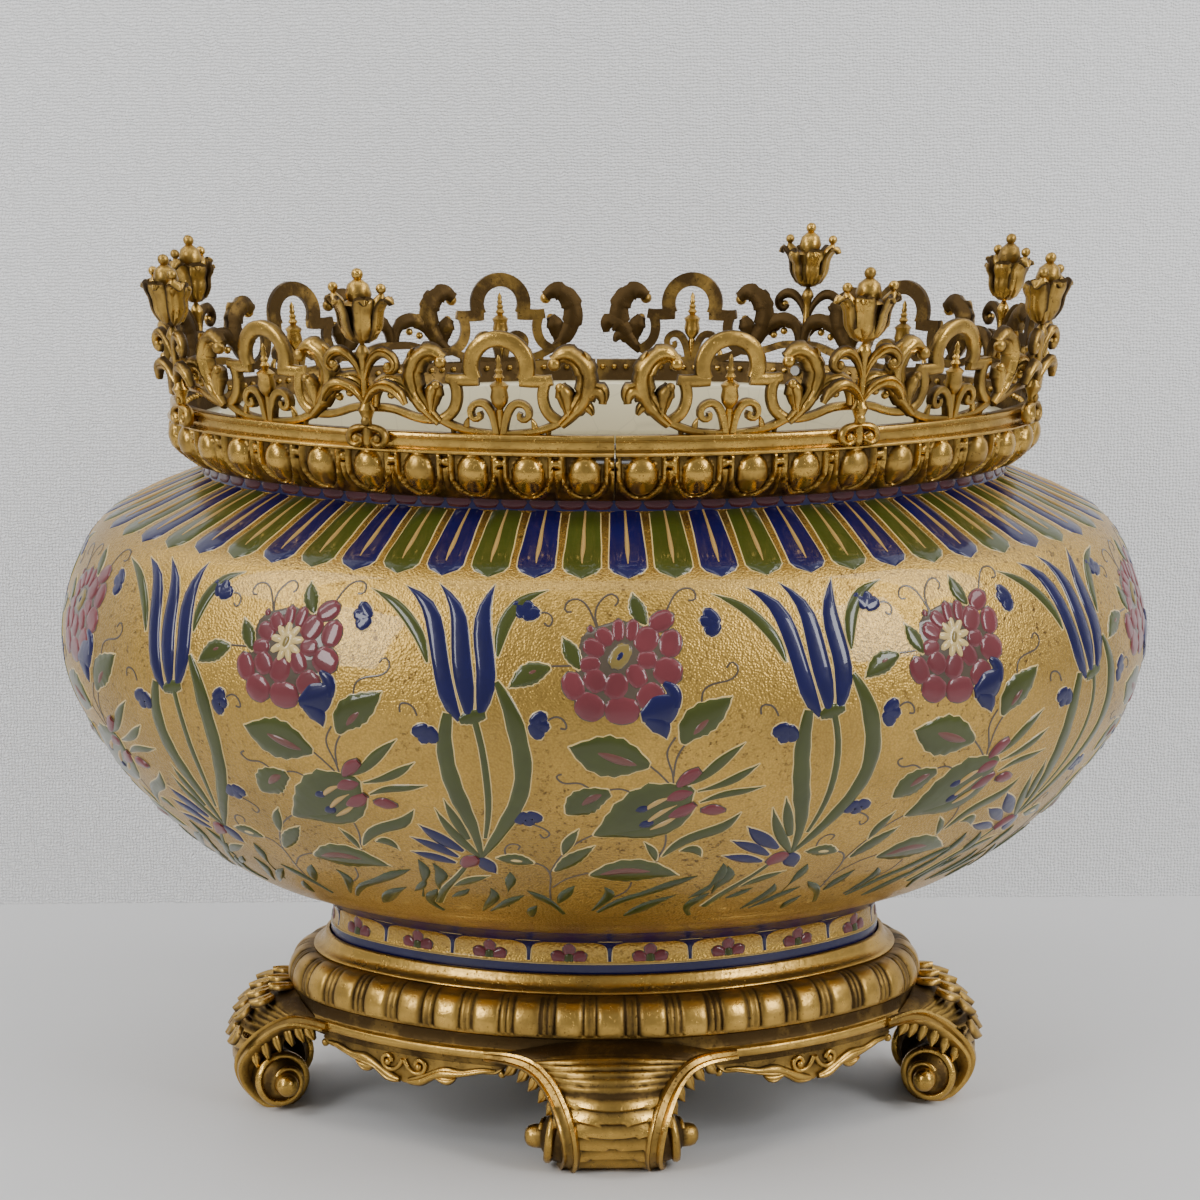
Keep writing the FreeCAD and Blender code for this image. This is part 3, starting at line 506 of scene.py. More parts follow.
# One repeat of the painted flowers, measured from the middle of the rosette: finish, line, half-widths
STROKES = (
    # tulip: three petals, two sepals, calyx, stem and broad leaves
    ("blue",
     ((-57.5, 169.5), (-60.8, 175), (-63.2, 183), (-65, 193), (-66.6, 203), (-69.5, 211), (-77.5, 218)),
     (1.0, 2.9, 3.4, 3.4, 3.5, 2.8, 0)),
    ("blue", ((-54, 171), (-55.2, 180), (-56.6, 190), (-57.2, 200), (-58.6, 210), (-64.8, 219.5)),
     (1.4, 3.4, 3.9, 3.6, 2.7, 0)),
    ("blue", ((-50, 172), (-48.2, 180), (-47.9, 190), (-48.9, 200), (-48.4, 209), (-44.2, 220)),
     (1.4, 3.5, 3.8, 3.8, 2.8, 0)),
    ("green", ((-69.5, 190), (-71.5, 197), (-75.5, 204), (-82, 211), (-91, 216)), (0.6, 2.0, 2.4, 1.9, 0)),
    ("green", ((-43.5, 193), (-42.5, 200), (-39.5, 207.5), (-34.5, 213.5), (-25, 218)),
     (0.5, 2.2, 2.5, 2.0, 0)),
    ("green", ((-57.5, 169.5), (-53, 171), (-48, 172)), (1.4, 2.8, 1.4)),
    ("green", ((-52, 170), (-49.6, 160), (-48, 148), (-47.2, 134), (-48.5, 116)), (1.3, 1.3, 1.4, 1.3, 0.8)),
    ("green", ((-62, 172), (-63.2, 160), (-61.5, 148), (-58, 136), (-53, 121), (-50, 104)),
     (1.8, 3.1, 3.4, 3.4, 2.2, 0.9)),
    ("green", ((-44, 184), (-39.5, 175), (-36, 163), (-34.4, 151), (-36, 138), (-41, 124), (-50, 104)),
     (1.0, 2.8, 3.5, 3.4, 3.2, 2.9, 0.9)),
    ("green", ((-67.5, 131), (-62.5, 121), (-56.5, 112), (-50.5, 104)), (0, 1.8, 2.0, 0.8)),
    ("green", ((-64, 136), (-60, 126), (-55, 115)), (0, 2.0, 1.2)),
    # fan of blue petals on the tulip's root
    ("blue", ((-57, 107.5), (-65.5, 114), (-74, 121.5)), (1.0, 3.0, 0)),
    ("blue", ((-59, 103.5), (-67.5, 109), (-77.5, 114)), (0.8, 2.5, 0)),
    ("blue", ((-60, 99.5), (-68.5, 102.5), (-77.5, 105)), (0.8, 2.5, 0)),
    ("blue", ((-50.5, 104), (-48, 99), (-44.5, 93.5)), (1.2, 3.6, 0)),
    ("green", ((-56, 98), (-60.5, 88), (-65, 78), (-67.5, 66)), (1.0, 1.3, 1.8, 1.6)),
    ("green", ((-61, 82), (-55, 87), (-47, 91.5)), (0.4, 2.4, 0)),
    # leaves round the rosette
    ("green", ((-20, 200.5), (-17, 195), (-14, 189)), (0, 3.1, 0.6)),
    ("green", ((5.2, 217), (6.8, 211), (10, 205)), (0, 3.1, 0.8)),
    ("green", ((-24.5, 189.5), (-31, 187.5), (-39.5, 182)), (0.8, 4.1, 0)),
    ("green", ((23.2, 161.5), (26, 167), (33, 172.5), (41, 178.5)), (1.0, 5.2, 5.6, 0)),
    ("green", ((11, 153), (2, 155.5), (-8, 157.5), (-18, 160.5)), (1.2, 7.6, 7.8, 0)),
    ("green", ((-3, 141), (-9, 138.5), (-15, 134), (-18.5, 130.5)), (1.6, 5.6, 5.6, 0.8)),
    # lobed leaf with buds and its fronds
    ("green", ((-8.5, 119), (0, 124), (9, 131), (19, 137), (27, 142.5)), (0.5, 7.5, 11.4, 10.2, 1.5)),
    ("green", ((-2, 120.5), (9, 120.5), (19, 125), (27.5, 134)), (1.0, 3.6, 4.2, 1.2)),
    ("green", ((22, 143.5), (29, 146.5), (36, 152.5), (46, 161)), (0.6, 1.4, 2.3, 0)),
    ("green", ((29, 141), (37, 143.5), (44, 147), (51.5, 152)), (0.4, 1.4, 1.8, 0)),
    ("green", ((30, 135.5), (38, 138.8), (46, 140.2), (54, 142)), (0.4, 1.5, 1.4, 0)),
    ("green", ((17, 106), (23, 113.5), (31, 118.5), (38, 121.5), (45.5, 129.5)), (0.5, 2.2, 2.6, 2.6, 0)),
    ("green", ((14.5, 103.5), (13.2, 109.5), (10, 115)), (0.6, 1.7, 0)),
    ("green", ((23.5, 109), (28.5, 109.8), (31.5, 105)), (0.3, 2.4, 0)),
    # low leaves
    ("green", ((-9.5, 94), (-1, 96), (10, 97), (23.5, 93)), (0.8, 6.6, 7.2, 0)),
    ("green", ((-22.5, 96.5), (-17.5, 103), (-8, 113)), (0.8, 3.4, 0)),
    ("green", ((-19.5, 107.5), (-18, 114), (-14, 122.5)), (0.4, 2.3, 0)),
    ("green", ((-30.5, 101.5), (-37, 103.5), (-44.5, 104)), (0.6, 3.6, 0.4)),
    # sprigs along the foot
    ("dark_green", ((-75, 100), (-72.5, 92), (-73, 84), (-74, 70)), (0, 2.4, 0.9, 0.7)),
    ("dark_green", ((-77.5, 74), (-74.5, 79), (-72.5, 86)), (0, 1.9, 0)),
    ("dark_green", ((-39.5, 95), (-39.2, 89), (-40, 82), (-40, 66)), (0, 2.3, 0.7, 0.5)),
    ("dark_green", ((-47, 82), (-45.5, 75), (-47.5, 68), (-50, 60)), (0, 2.2, 1.9, 0.4)),
    ("dark_green", ((-34, 77), (-38, 73), (-43, 66), (-47, 60)), (0, 2.0, 1.6, 0.4)),
    ("dark_green", ((-55, 80), (-58, 76), (-62, 72)), (0, 1.9, 0.4)),
    ("dark_green", ((-33, 81), (-29, 77), (-24, 71), (-19, 60)), (0, 1.8, 1.5, 0.9)),
    ("dark_green", ((-15, 86), (-18, 80), (-21, 71)), (0, 2.4, 0.6)),
    ("dark_green", ((-4, 85), (-2, 80), (-4, 73), (-8, 64)), (0, 2.1, 1.7, 0.6)),
    ("dark_green", ((31, 92), (22, 87), (12, 80), (3, 74), (-6, 62)), (0, 2.3, 1.9, 1.8, 0.8)),
    ("dark_green", ((23, 77), (16, 72), (8, 63), (4, 58)), (0, 2.1, 2.4, 0.5)),
    ("dark_green", ((42, 98), (42.8, 91), (39, 84), (37, 78)), (0, 2.5, 1.5, 0.4)),
    ("dark_green", ((36, 78), (32, 73), (28, 66), (29, 57)), (0, 2.0, 1.7, 1.0)),
    ("dark_green", ((-29, 68), (-31, 63), (-31, 56)), (0, 2.0, 0.8)),
    # crimson buds
    ("crimson", ((17.5, 137.5), (22, 139.5), (27, 141)), (0.8, 2.9, 0.8)),
    ("crimson", ((18.5, 129), (23.5, 131.5), (28, 135)), (0.8, 3.0, 1.2)),
    ("crimson", ((21.5, 143.5), (26, 148), (29.5, 150.5)), (0.8, 2.6, 1.4)),
    ("crimson", ((30.5, 131.5), (35, 131.5), (39.5, 131)), (0.8, 2.8, 0.6)),
    ("crimson", ((-57, 98), (-54, 101.5), (-51.5, 104)), (1.6, 3.7, 1.4)),
    ("pink", ((8, 153), (0, 155.5), (-9, 159)), (0.4, 1.9, 0.4)),
    ("pink", ((-5, 141), (-9.5, 138.5), (-13.5, 135)), (0.4, 1.8, 0.6)),
    ("pink", ((-27.5, 189), (-31, 187.8), (-34, 186.4)), (0.2, 1.0, 0.2)),
    ("pink", ((26, 164), (29.5, 168), (33.5, 171.5)), (0.4, 1.4, 0.3)),
    ("pink", ((-7, 94.6), (3, 97.4), (14.5, 96.5)), (0.5, 2.2, 0.4)),
    ("pale", ((-33, 102.6), (-37, 103.4), (-41, 103.6)), (0.3, 1.2, 0.2)),
    # gold slits with blue buds in the lobed leaf
    ("gold", ((10.5, 133.5), (15, 137), (19.5, 139)), (0.9, 1.1, 0.3)),
    ("gold", ((10, 125.5), (16, 131.5), (21.5, 135)), (0.6, 1.1, 0.3)),
    ("gold", ((12, 122.5), (17.5, 126), (22.5, 130)), (0.6, 1.1, 0.3)),
    ("blue", ((6.5, 132.5), (9, 133.3), (11.5, 134.2)), (0.8, 1.9, 0.8)),
    ("blue", ((8, 124.5), (10.5, 125.5), (13, 126.8)), (0.9, 2.2, 0.9)),
    # blue sepal below the rosette
    ("blue", ((8, 172), (14.5, 174), (20, 178)), (2.0, 6.4, 3.0)),
    ("blue", ((10, 171), (15, 168.5), (17.2, 163.5)), (2.0, 3.8, 0)),
    ("blue", ((16, 184), (19.5, 181), (20.5, 175)), (1.0, 2.6, 1.5)),
)
# Petals of the rosette: centre, half-width, half-length, turn in degrees
ROSETTE = (
    (15.5, 206.3, 3.6, 4.6, 60), (18.7, 198, 4.0, 4.9, 10), (17.6, 188, 4.9, 5.2, -60),
    (11.5, 179, 5.0, 5.0, 50), (1.2, 174.2, 4.9, 6.2, 90), (-10.4, 175.6, 4.9, 5.4, -60),
    (-16.3, 183, 3.9, 5.0, -20), (10, 199.5, 4.3, 4.8, 30), (10.2, 192.3, 3.3, 3.6, 90),
    (6.4, 186.6, 3.5, 4.3, -30), (-1, 183, 4.3, 4.7, 20), (-8.4, 185, 4.0, 4.3, -40),
    (-10.3, 190.8, 2.9, 3.7, 80), (-8.8, 196.6, 3.3, 4.0, -60), (-5, 200.6, 3.0, 3.6, -40),
    (0, 203, 2.3, 3.9, 0), (5, 203, 2.4, 3.9, 10),
)
ROSETTE_HEART = (0.5, 193.6)
# The petals are drawn wider and longer than measured by these, so that they nearly touch
PETAL_WIDER, PETAL_LONGER = 1.1, 1.06
# Small blue blossoms: centre and turn
BLOSSOMS = ((-69.5, 166, 200), (-31, 169, 100), (-34, 208, 20), (-92, 205, -80), (-33, 130, 170))
# Thin curled tendrils, then thin stems
TENDRILS = (
    ((-7.5, 203), (-10, 210), (-14, 214.5), (-18.5, 213), (-18.8, 210), (-16.6, 209.8)),
    ((-7, 203), (-8.2, 209), (-5.5, 214.8), (-1.8, 216.6), (0.2, 214), (-1.2, 212)),
    ((17, 209), (19.5, 214.5), (23.5, 218.5), (27.5, 217.5), (27.6, 214), (25.4, 213.8)),
    ((29.8, 176.5), (30.6, 181), (36, 183.6), (41.8, 185.4), (43.2, 188.6), (40.8, 190.8), (39, 188.8)),
    ((-26, 170), (-22.5, 171.8), (-19.4, 170), (-19, 167.4), (-21, 167.6)),
    ((-29.5, 208.5), (-26, 209.4), (-23.6, 207), (-25, 204.4), (-26.6, 205.6)),
    ((-73.5, 170.5), (-76.5, 174.6), (-79.8, 174.4), (-80, 171.4)),
    ((-9.5, 142), (-15, 145.4), (-20.4, 145.6), (-22.2, 148.4), (-20.4, 149.2)),
    ((-41, 106.5), (-41.2, 110), (-38.4, 113), (-35.8, 112), (-36.4, 109.6)),
    ((-31, 124.5), (-26.5, 122), (-24.8, 118.8), (-26.8, 117), (-28.2, 119.2)),
    ((-5, 191.5), (-14, 190.5), (-25, 190)),
    ((20.5, 164), (17.5, 158), (19.4, 150), (20, 143)),
    ((25.5, 163), (21.5, 157), (20, 148)),
    ((11, 153), (15.5, 148.5), (19, 144)),
    ((-3, 142.3), (1, 142.6), (5.5, 140.4)),
    ((17.5, 122), (17.8, 113), (15.2, 104), (14.5, 101)),
    ((6, 88.5), (4.4, 82), (-1, 76)),
    ((-10, 95.4), (-18, 91), (-23.4, 84)),
    ((-24, 74), (-24.2, 86), (-24.8, 96), (-28, 100.6), (-31, 101.6)),
    ((-24.4, 95), (-20.5, 106), (-14, 115), (-8.4, 119.4)),
)
# Angles of the ten repeats: shares of the belly's length, seven of them measured at the front
REPEATS = (-0.205, -0.102, 0.0, 0.105, 0.2075, 0.305, 0.402, 0.5, 0.598, 0.696)
# Finish of the fine line that borders a stroke; the other strokes have none
OUTLINES = {"blue": "pale", "green": "pale", "crimson": "dark"}
# Strokes from here on lie over the leaves drawn before them
FIRST_OVER = [finish for finish, points, widths in STROKES].index("crimson")


def lay_stroke(mould, made, angle, proud):
    """Bends a stroke in (across, along, height) on to the glaze."""
    mould.tube(on_bowl(made[..., 0], made[..., 1], made[..., 2], angle), proud)


def add_stroke(moulds, finish, points, widths, angle, rise=PLAIN_RISE):
    """One enamel stroke with the fine line that borders it, a little wider and longer than the stroke."""
    border = OUTLINES.get(finish)
    leafy = finish == "green" and np.max(widths) > 2.6
    count, waves = (25, 6) if leafy else (11, 0)
    made = blade(points, widths, rise, count, waves=waves)
    lay_stroke(moulds[finish], made, angle, np.clip(DOME[:, 1], 0, 1))
    if border:
        points = np.asarray(points, float)
        first, last = points[0] - points[1], points[-1] - points[-2]
        points[0] = points[0] + 0.45 * first / np.linalg.norm(first)
        points[-1] = points[-1] + 0.45 * last / np.linalg.norm(last)
        wide = np.asarray(np.broadcast_to(widths, len(points)), float) + 0.36
        made = blade(points, wide, 0.3, count, waves=waves)
        lay_stroke(moulds[border], made, angle, 0.5)


def add_flowers(moulds, repeat, share):
    """One tulip and one rosette with their leaves."""
    angle = float(normal_angle(BELLY, np.array(share)))
    for number, (finish, points, widths) in enumerate(STROKES):
        rise = SLIT_RISE if finish == "gold" else (OVER_RISE if number >= FIRST_OVER else PLAIN_RISE)
        add_stroke(moulds, finish, points, widths, angle, rise=rise)
    ground, wide = petal(0.5, 190.5, 17.5, 16.5, 0)
    lay_stroke(moulds["dark"], blade(ground, wide, 0.25), angle, 0.5)
    for x, along, half_wide, half_long, turn in ROSETTE:
        shape = petal(x, along, PETAL_WIDER * half_wide, PETAL_LONGER * half_long, turn)
        add_stroke(moulds, "crimson", *shape, angle, 0.6)
    add_stroke(moulds, "crimson", *petal(-10, 203.5, 1.2, 1.2, 0), angle)
    if repeat % 2:
        for turn in range(0, 360, 40):
            x = ROSETTE_HEART[0] + 4.4 * math.sin(math.radians(turn))
            along = ROSETTE_HEART[1] + 5.0 * math.cos(math.radians(turn))
            add_stroke(moulds, "pale", *petal(x, along, 1.5, 3.0, turn), angle, 0.8)
        add_stroke(moulds, "pale", *petal(*ROSETTE_HEART, 3.4, 4.4, 20), angle, 0.8)
        add_stroke(moulds, "olive", *petal(*ROSETTE_HEART, 1.7, 2.6, 20), angle, OVER_RISE)
    else:
        add_stroke(moulds, "dark", *petal(*ROSETTE_HEART, 4.2, 5.8, 35), angle, 0.5)
        add_stroke(moulds, "olive", *petal(*ROSETTE_HEART, 3.7, 5.3, 35), angle, 0.8)
        add_stroke(moulds, "blue", *petal(*ROSETTE_HEART, 1.4, 2.4, 35), angle, OVER_RISE)
    for x, along, turn in BLOSSOMS:
        for lobe in (-50, 0, 50):
            way = math.radians(turn + lobe)
            spot = (x + 2.8 * math.sin(way), along + 2.8 * math.cos(way))
            add_stroke(moulds, "blue", *petal(*spot, 2.9, 3.7, turn + lobe), angle)
    for points in TENDRILS:
        lay_stroke(moulds["dark"], blade(points, 0.42, 0.35, 16), angle, 0.5)


def add_tongues(moulds, pairs):
    """Pointed tongues on the shoulder: a rounded bar from the neck to an ogee tip, with a gold slit.
    Their shares at the neck and at the tips each follow t + k sin(4 pi t), as the photograph shows."""
    for number in range(2 * pairs):
        t = number / (2 * pairs)
        finish = "green" if number % 2 else "blue"
        wave = math.sin(4 * math.pi * t) / (4 * math.pi)
        neck, tip = t + 0.046 * wave + 0.0045, t - 0.055 * wave + 0.0035
        along = np.array([267.4, 260, 250, 240, 231, 228, 225.8, 224.6, 223.2])
        wide = np.array([5.9, 6.2, 6.6, 7.1, 7.4, 7.1, 5.0, 2.4, 0.05])
        for name, grow, rise in ((OUTLINES[finish], 0.4, 0.3), (finish, 0.0, 0.6), ("gold", None, 2.1)):
            if grow is None:
                use, bars = along[:5], np.array([0.6, 0.65, 0.8, 0.9, 0.3])
            else:
                use, bars = along, wide + grow
            half = np.interp(use, STEPS, HALF)
            share = np.interp(use, (224, 267.4), (tip, neck))
            made = blade(np.stack([np.zeros(len(use)), use], 1), bars, rise, 16)
            centre = np.interp(made[..., 1], use[::-1], (share * oval_length(half))[::-1])
            share_here = (made[..., 0] + centre) / oval_length(np.interp(made[..., 1], STEPS, HALF))
            moulds[name].tube(on_wall(share_here, made[..., 1], made[..., 2]), np.clip(DOME[:, 1], 0, 1))


def on_wall(share, along, height):
    """The same as on_bowl, for a share of the length at that height."""
    half = np.interp(along, STEPS, HALF)
    out = height * np.interp(along, STEPS, LEAN_OUT)
    x, y = oval_point(half + out, normal_angle(half, share))
    return np.stack([x, y, np.interp(along, STEPS, LEVEL) + height * np.interp(along, STEPS, LEAN_UP)], -1)


def ring_of(section, columns, start=0.0, end=1.0):
    """A closed section of (half-width, level) at each of some even normals round the oval."""
    section = np.asarray(section, float)
    turn = np.linspace(start, end, columns, endpoint=end - start < 1) * 2 * math.pi
    x, y = oval_point(section[None, :, 0] + 0 * turn[:, None], turn[:, None] + 0 * section[None, :, 0])
    return np.stack([x, y, np.broadcast_to(section[:, 1], x.shape)], -1)


def add_foot_band(moulds, panels):
    """Painted foot: blue bands, dividers that flare into scallops, a three-petalled flower in each panel."""
    for name, low, high, rise in (("blue", 70.6, 74.6, 0.35), ("pale", 74.4, 75.0, 0.4)):
        section = [(113.0, low), (113.1 + rise, low + 0.2), (113.1 + rise, high - 0.2), (112.6, high)]
        moulds[name].tube(ring_of(section, 240), 0.7, ring=True)
    for number in range(panels):
        angle = float(normal_angle(PAINTED_FOOT, np.array(number / panels)))
        line = ((0, -0.5), (0, 3), (0, 5.5), (0, 7.5), (0, 9.0))
        add_stroke(moulds, "blue", line, (0.8, 0.9, 1.4, 4.0, 9.0), angle)
        middle = float(normal_angle(PAINTED_FOOT, np.array((number + 0.5) / panels)))
        for x, along, turn in ((-4.2, 1.6, -70), (0, 4.6, 0), (4.2, 1.6, 70)):
            add_stroke(moulds, "crimson", *petal(x, along, 2.6, 2.9, turn), middle)
        add_stroke(moulds, "green", *petal(0, 1.2, 2.0, 2.0, 0), middle, 0.9)
    along = np.array([8.0, 10.0, 13.0, 17.0, 21.0, 22.0])
    half, level = np.interp(along, STEPS, HALF), np.interp(along, STEPS, LEVEL)
    outer = np.stack([half + 0.5 * np.array([0, 1, 1, 1, 1, 0]), level], 1)
    inner = np.stack([half - 1.0, level + 0.6], 1)[::-1]
    moulds["blue"].tube(ring_of(np.concatenate([outer, inner]), 300), 0.7, ring=True)


def add_scales(moulds, count):
    """Half-round dark red scales on blue under the rim; their colour is darkened further as painted shade
    from the rim above.
    """
    section = [(161.4, 262.2), (162.6, 262.8), (162.2, 266.9), (160.9, 266.9)]
    moulds["blue"].tube(ring_of(section, 240), 0.7, ring=True)
    for number in range(count):
        reach = np.sin(np.linspace(-1, 1, 7) * math.pi / 2)
        points = np.stack([5.0 * reach, 0 * reach], 1)
        made = blade(points, 3.0 * np.sqrt(np.clip(1 - reach**2, 0, 1)), 0.4, 9)
        local = np.stack([made[..., 0], made[..., 2], made[..., 1]], -1)
        # The scales take the darkened red, which holds painted shade from the rim
        moulds["plum"].tube(stood(local, (number + 0.5) / count, 162.3, 265.9), 0.8)


class JardiniereColours(bpy.types.PropertyGroup):
    """Colours of the glaze, the enamels and the mounts."""

    gold_ground: bpy.props.FloatVectorProperty(
        name="Gold ground", description="Ground of the painted bowl", subtype="COLOR", size=3,
        default=(0.60, 0.37, 0.082),
    )
    cream_glaze: bpy.props.FloatVectorProperty(
        name="Cream glaze", description="Glaze inside the bowl", subtype="COLOR", size=3,
        default=(0.80, 0.73, 0.50),
    )
    blue: bpy.props.FloatVectorProperty(
        name="Blue enamel", description="Cobalt of petals, tongues and bands", subtype="COLOR", size=3,
        default=(0.004, 0.004, 0.048),
    )
    green: bpy.props.FloatVectorProperty(
        name="Green enamel", description="Leaves and alternate tongues", subtype="COLOR", size=3,
        default=(0.040, 0.048, 0.006),
    )
    dark_green: bpy.props.FloatVectorProperty(
        name="Dark green enamel", description="Sprigs by the foot", subtype="COLOR", size=3,
        default=(0.026, 0.036, 0.006),
    )
    crimson: bpy.props.FloatVectorProperty(
        name="Crimson enamel", description="Rosettes and buds", subtype="COLOR", size=3,
        default=(0.125, 0.024, 0.029),
    )
    # Darker than the rosettes' crimson: the scales' own dark red with painted shade from the overhanging rim
    # mixed into the colour
    plum: bpy.props.FloatVectorProperty(
        name="Plum enamel and painted rim shade", description="Scales under the rim", subtype="COLOR", size=3,
        default=(0.055, 0.010, 0.014),
    )
    pink: bpy.props.FloatVectorProperty(
        name="Pink enamel", description="Hearts of the leaves", subtype="COLOR", size=3,
        default=(0.11, 0.04, 0.03),
    )
    pale: bpy.props.FloatVectorProperty(
        name="Pale line", description="Raised line round the enamels", subtype="COLOR", size=3,
        default=(0.56, 0.41, 0.16),
    )
    olive: bpy.props.FloatVectorProperty(
        name="Olive ground", description="Ground of the rosettes", subtype="COLOR", size=3,
        default=(0.17, 0.12, 0.03),
    )
    dark: bpy.props.FloatVectorProperty(
        name="Dark line", description="Tendrils and petal outlines", subtype="COLOR", size=3,
        default=(0.06, 0.045, 0.03),
    )
    gold: bpy.props.FloatVectorProperty(
        name="Gold slit", description="Lines inside tongues and leaves", subtype="COLOR", size=3,
        default=(0.42, 0.26, 0.08),
    )
    gilt: bpy.props.FloatVectorProperty(
        name="Gilt bronze", description="Burnished parts of the mounts", subtype="COLOR", size=3,
        default=(0.53, 0.325, 0.078),
    )
    patina: bpy.props.FloatVectorProperty(
        name="Brown patina", description="Hollows of the mounts", subtype="COLOR", size=3,
        default=(0.07, 0.042, 0.016),
    )


class JardiniereCounts(bpy.types.PropertyGroup):
    """Counts and heights of the repeated ornament."""

    tongue_pairs: bpy.props.IntProperty(
        name="Tongue pairs", description="Blue and green pairs", default=32, min=8
    )
    foot_panels: bpy.props.IntProperty(
        name="Foot panels", description="Gold panels round the foot", default=18, min=6
    )
    neck_scales: bpy.props.IntProperty(
        name="Neck scales", description="Plum scales under the rim", default=84, min=8
    )
    eggs: bpy.props.IntProperty(
        name="Eggs", description="Eggs on each half of the rim", default=23, min=5
    )
    gadroons: bpy.props.IntProperty(
        name="Gadroons", description="Gadroons round the base", default=41, min=9
    )
    egg_rise: bpy.props.FloatProperty(
        name="Egg rise", description="Height of an egg over its hollow", default=3.8 * MM, unit="LENGTH"
    )
    gadroon_rise: bpy.props.FloatProperty(
        name="Gadroon rise", description="Height of a gadroon over its groove", unit="LENGTH",
        default=1.5 * MM,
    )
    strap_depth: bpy.props.FloatProperty(
        name="Strap depth", description="Thickness of the gallery's straps", default=3.4 * MM, unit="LENGTH"
    )


def enamel_finish(name, colour, light):
    """Glassy enamel: darker where it pools in the middle, lighter and greener at its thin edges."""
    finish = Finish(
        name, Roughness=0.3, Coat_Weight=0.55, Coat_Roughness=0.03, IOR=1.42, Specular_IOR_Level=0.25
    )
    cloud = finish.between(finish.noise(60.0, 3.0), 0.3, 0.7)
    edge = (1.0 - finish.between(finish.proud(), 0.15, 0.7)) * 0.45 + cloud * 0.25
    lighter = [part * light + 0.003 for part in colour]
    finish.paint(Base_Color=finish.blend(edge, colour_of(colour), colour_of(lighter)))
    finish.relief(finish.noise(260.0, 1.0), 0.00012)
    return finish.material


def bronze_finish(name, gilt, patina, wear=1.0, roughness=0.24):
    """Gilt bronze: burnished where it stands proud, brown in the hollows, with pits and rubbed patches."""
    finish = Finish(name, Metallic=1.0)
    grime = finish.between(finish.noise(55.0, 5.0, 0.62), 0.38, 0.72)
    hollow = 1.0 - finish.between(finish.proud(), 0.05, 0.75)
    pits = finish.between(finish.noise(900.0, 2.0), 0.62, 0.72)
    soil = finish.between(hollow * 0.9 + grime * 0.5 * wear + pits * 0.25, 0.12, 1.05)
    tone = finish.blend(finish.noise(14.0, 2.0), colour_of(gilt, 0.85), colour_of(gilt, 1.12))
    finish.paint(Base_Color=finish.blend(soil, tone, colour_of(patina)))
    finish.paint(Roughness=soil * 0.3 + finish.noise(120.0, 3.0) * 0.12 + (roughness - 0.06))
    finish.relief(finish.noise(420.0, 3.0) + pits * -0.6, 0.00022, 0.7)
    return finish.material


def steel_finish():
    """Dull steel with fine turning marks."""
    finish = Finish("dull_steel", Metallic=1.0)
    finish.paint(Base_Color=finish.blend(finish.noise(300.0), (0.32, 0.32, 0.33, 1.0), (0.5, 0.5, 0.5, 1.0)))
    finish.paint(Roughness=finish.noise(200.0) * 0.2 + 0.35)
    finish.relief(finish.noise(800.0), 0.0001)
    return finish.material


def leather_finish():
    """Brown leather with a pebbled grain."""
    finish = Finish("pad_leather")
    grain = finish.cells(900.0, "F1")
    finish.paint(Base_Color=finish.blend(grain, (0.10, 0.055, 0.03, 1.0), (0.2, 0.12, 0.07, 1.0)))
    finish.paint(Roughness=grain * 0.2 + 0.6)
    finish.relief(grain, 0.0003)
    return finish.material


def bowl_finish(gold, cream):
    """The bowl in one: gold ground where the proud value is one, cream glaze where it is nothing."""
    finish = Finish("glazed_wall", IOR=1.45, Coat_Roughness=0.05)
    outside = finish.between(finish.proud(), 0.35, 0.65)
    pebble = finish.cells(1150.0, "SMOOTH_F1", 0.6)
    patch = finish.between(finish.noise(16.0, 4.0, 0.6), 0.35, 0.7)
    fleck = finish.between(finish.noise(420.0, 2.0, 0.7), 0.565, 0.69)
    fleck = fleck * finish.between(finish.noise(24.0, 3.0), 0.39, 0.60)
    tone = finish.blend(patch, colour_of(gold, 0.72), colour_of(gold, 1.15))
    # Painted shade: the gold is darkened towards the pebble cells' edges, the hollows of the pebbled bump
    tone = finish.blend(finish.between(pebble, 0.1, 0.75) * 0.45, tone, colour_of(gold, 0.35))
    tone = finish.blend(fleck * 0.8, tone, (0.06, 0.03, 0.012, 1.0))
    crackle = finish.between(finish.cells(70.0, "DISTANCE_TO_EDGE"), 0.03, 0.0)
    cloud = finish.between(finish.noise(9.0, 4.0), 0.3, 0.75)
    pale = finish.blend(cloud, colour_of(cream), colour_of(cream, 0.86))
    pale = finish.blend(crackle * 0.25, pale, colour_of(cream, 0.55))
    finish.paint(Base_Color=finish.blend(outside, pale, tone))
    finish.paint(Metallic=outside * 0.95, Coat_Weight=0.7 - outside * 0.42)
    finish.paint(Roughness=finish.between(pebble, 0.0, 1.0) * 0.2 + 0.3)
    finish.relief(((1.0 - pebble) + finish.noise(900.0, 1.0) * 0.3) * outside, 0.0003, 0.9)
    return finish.material


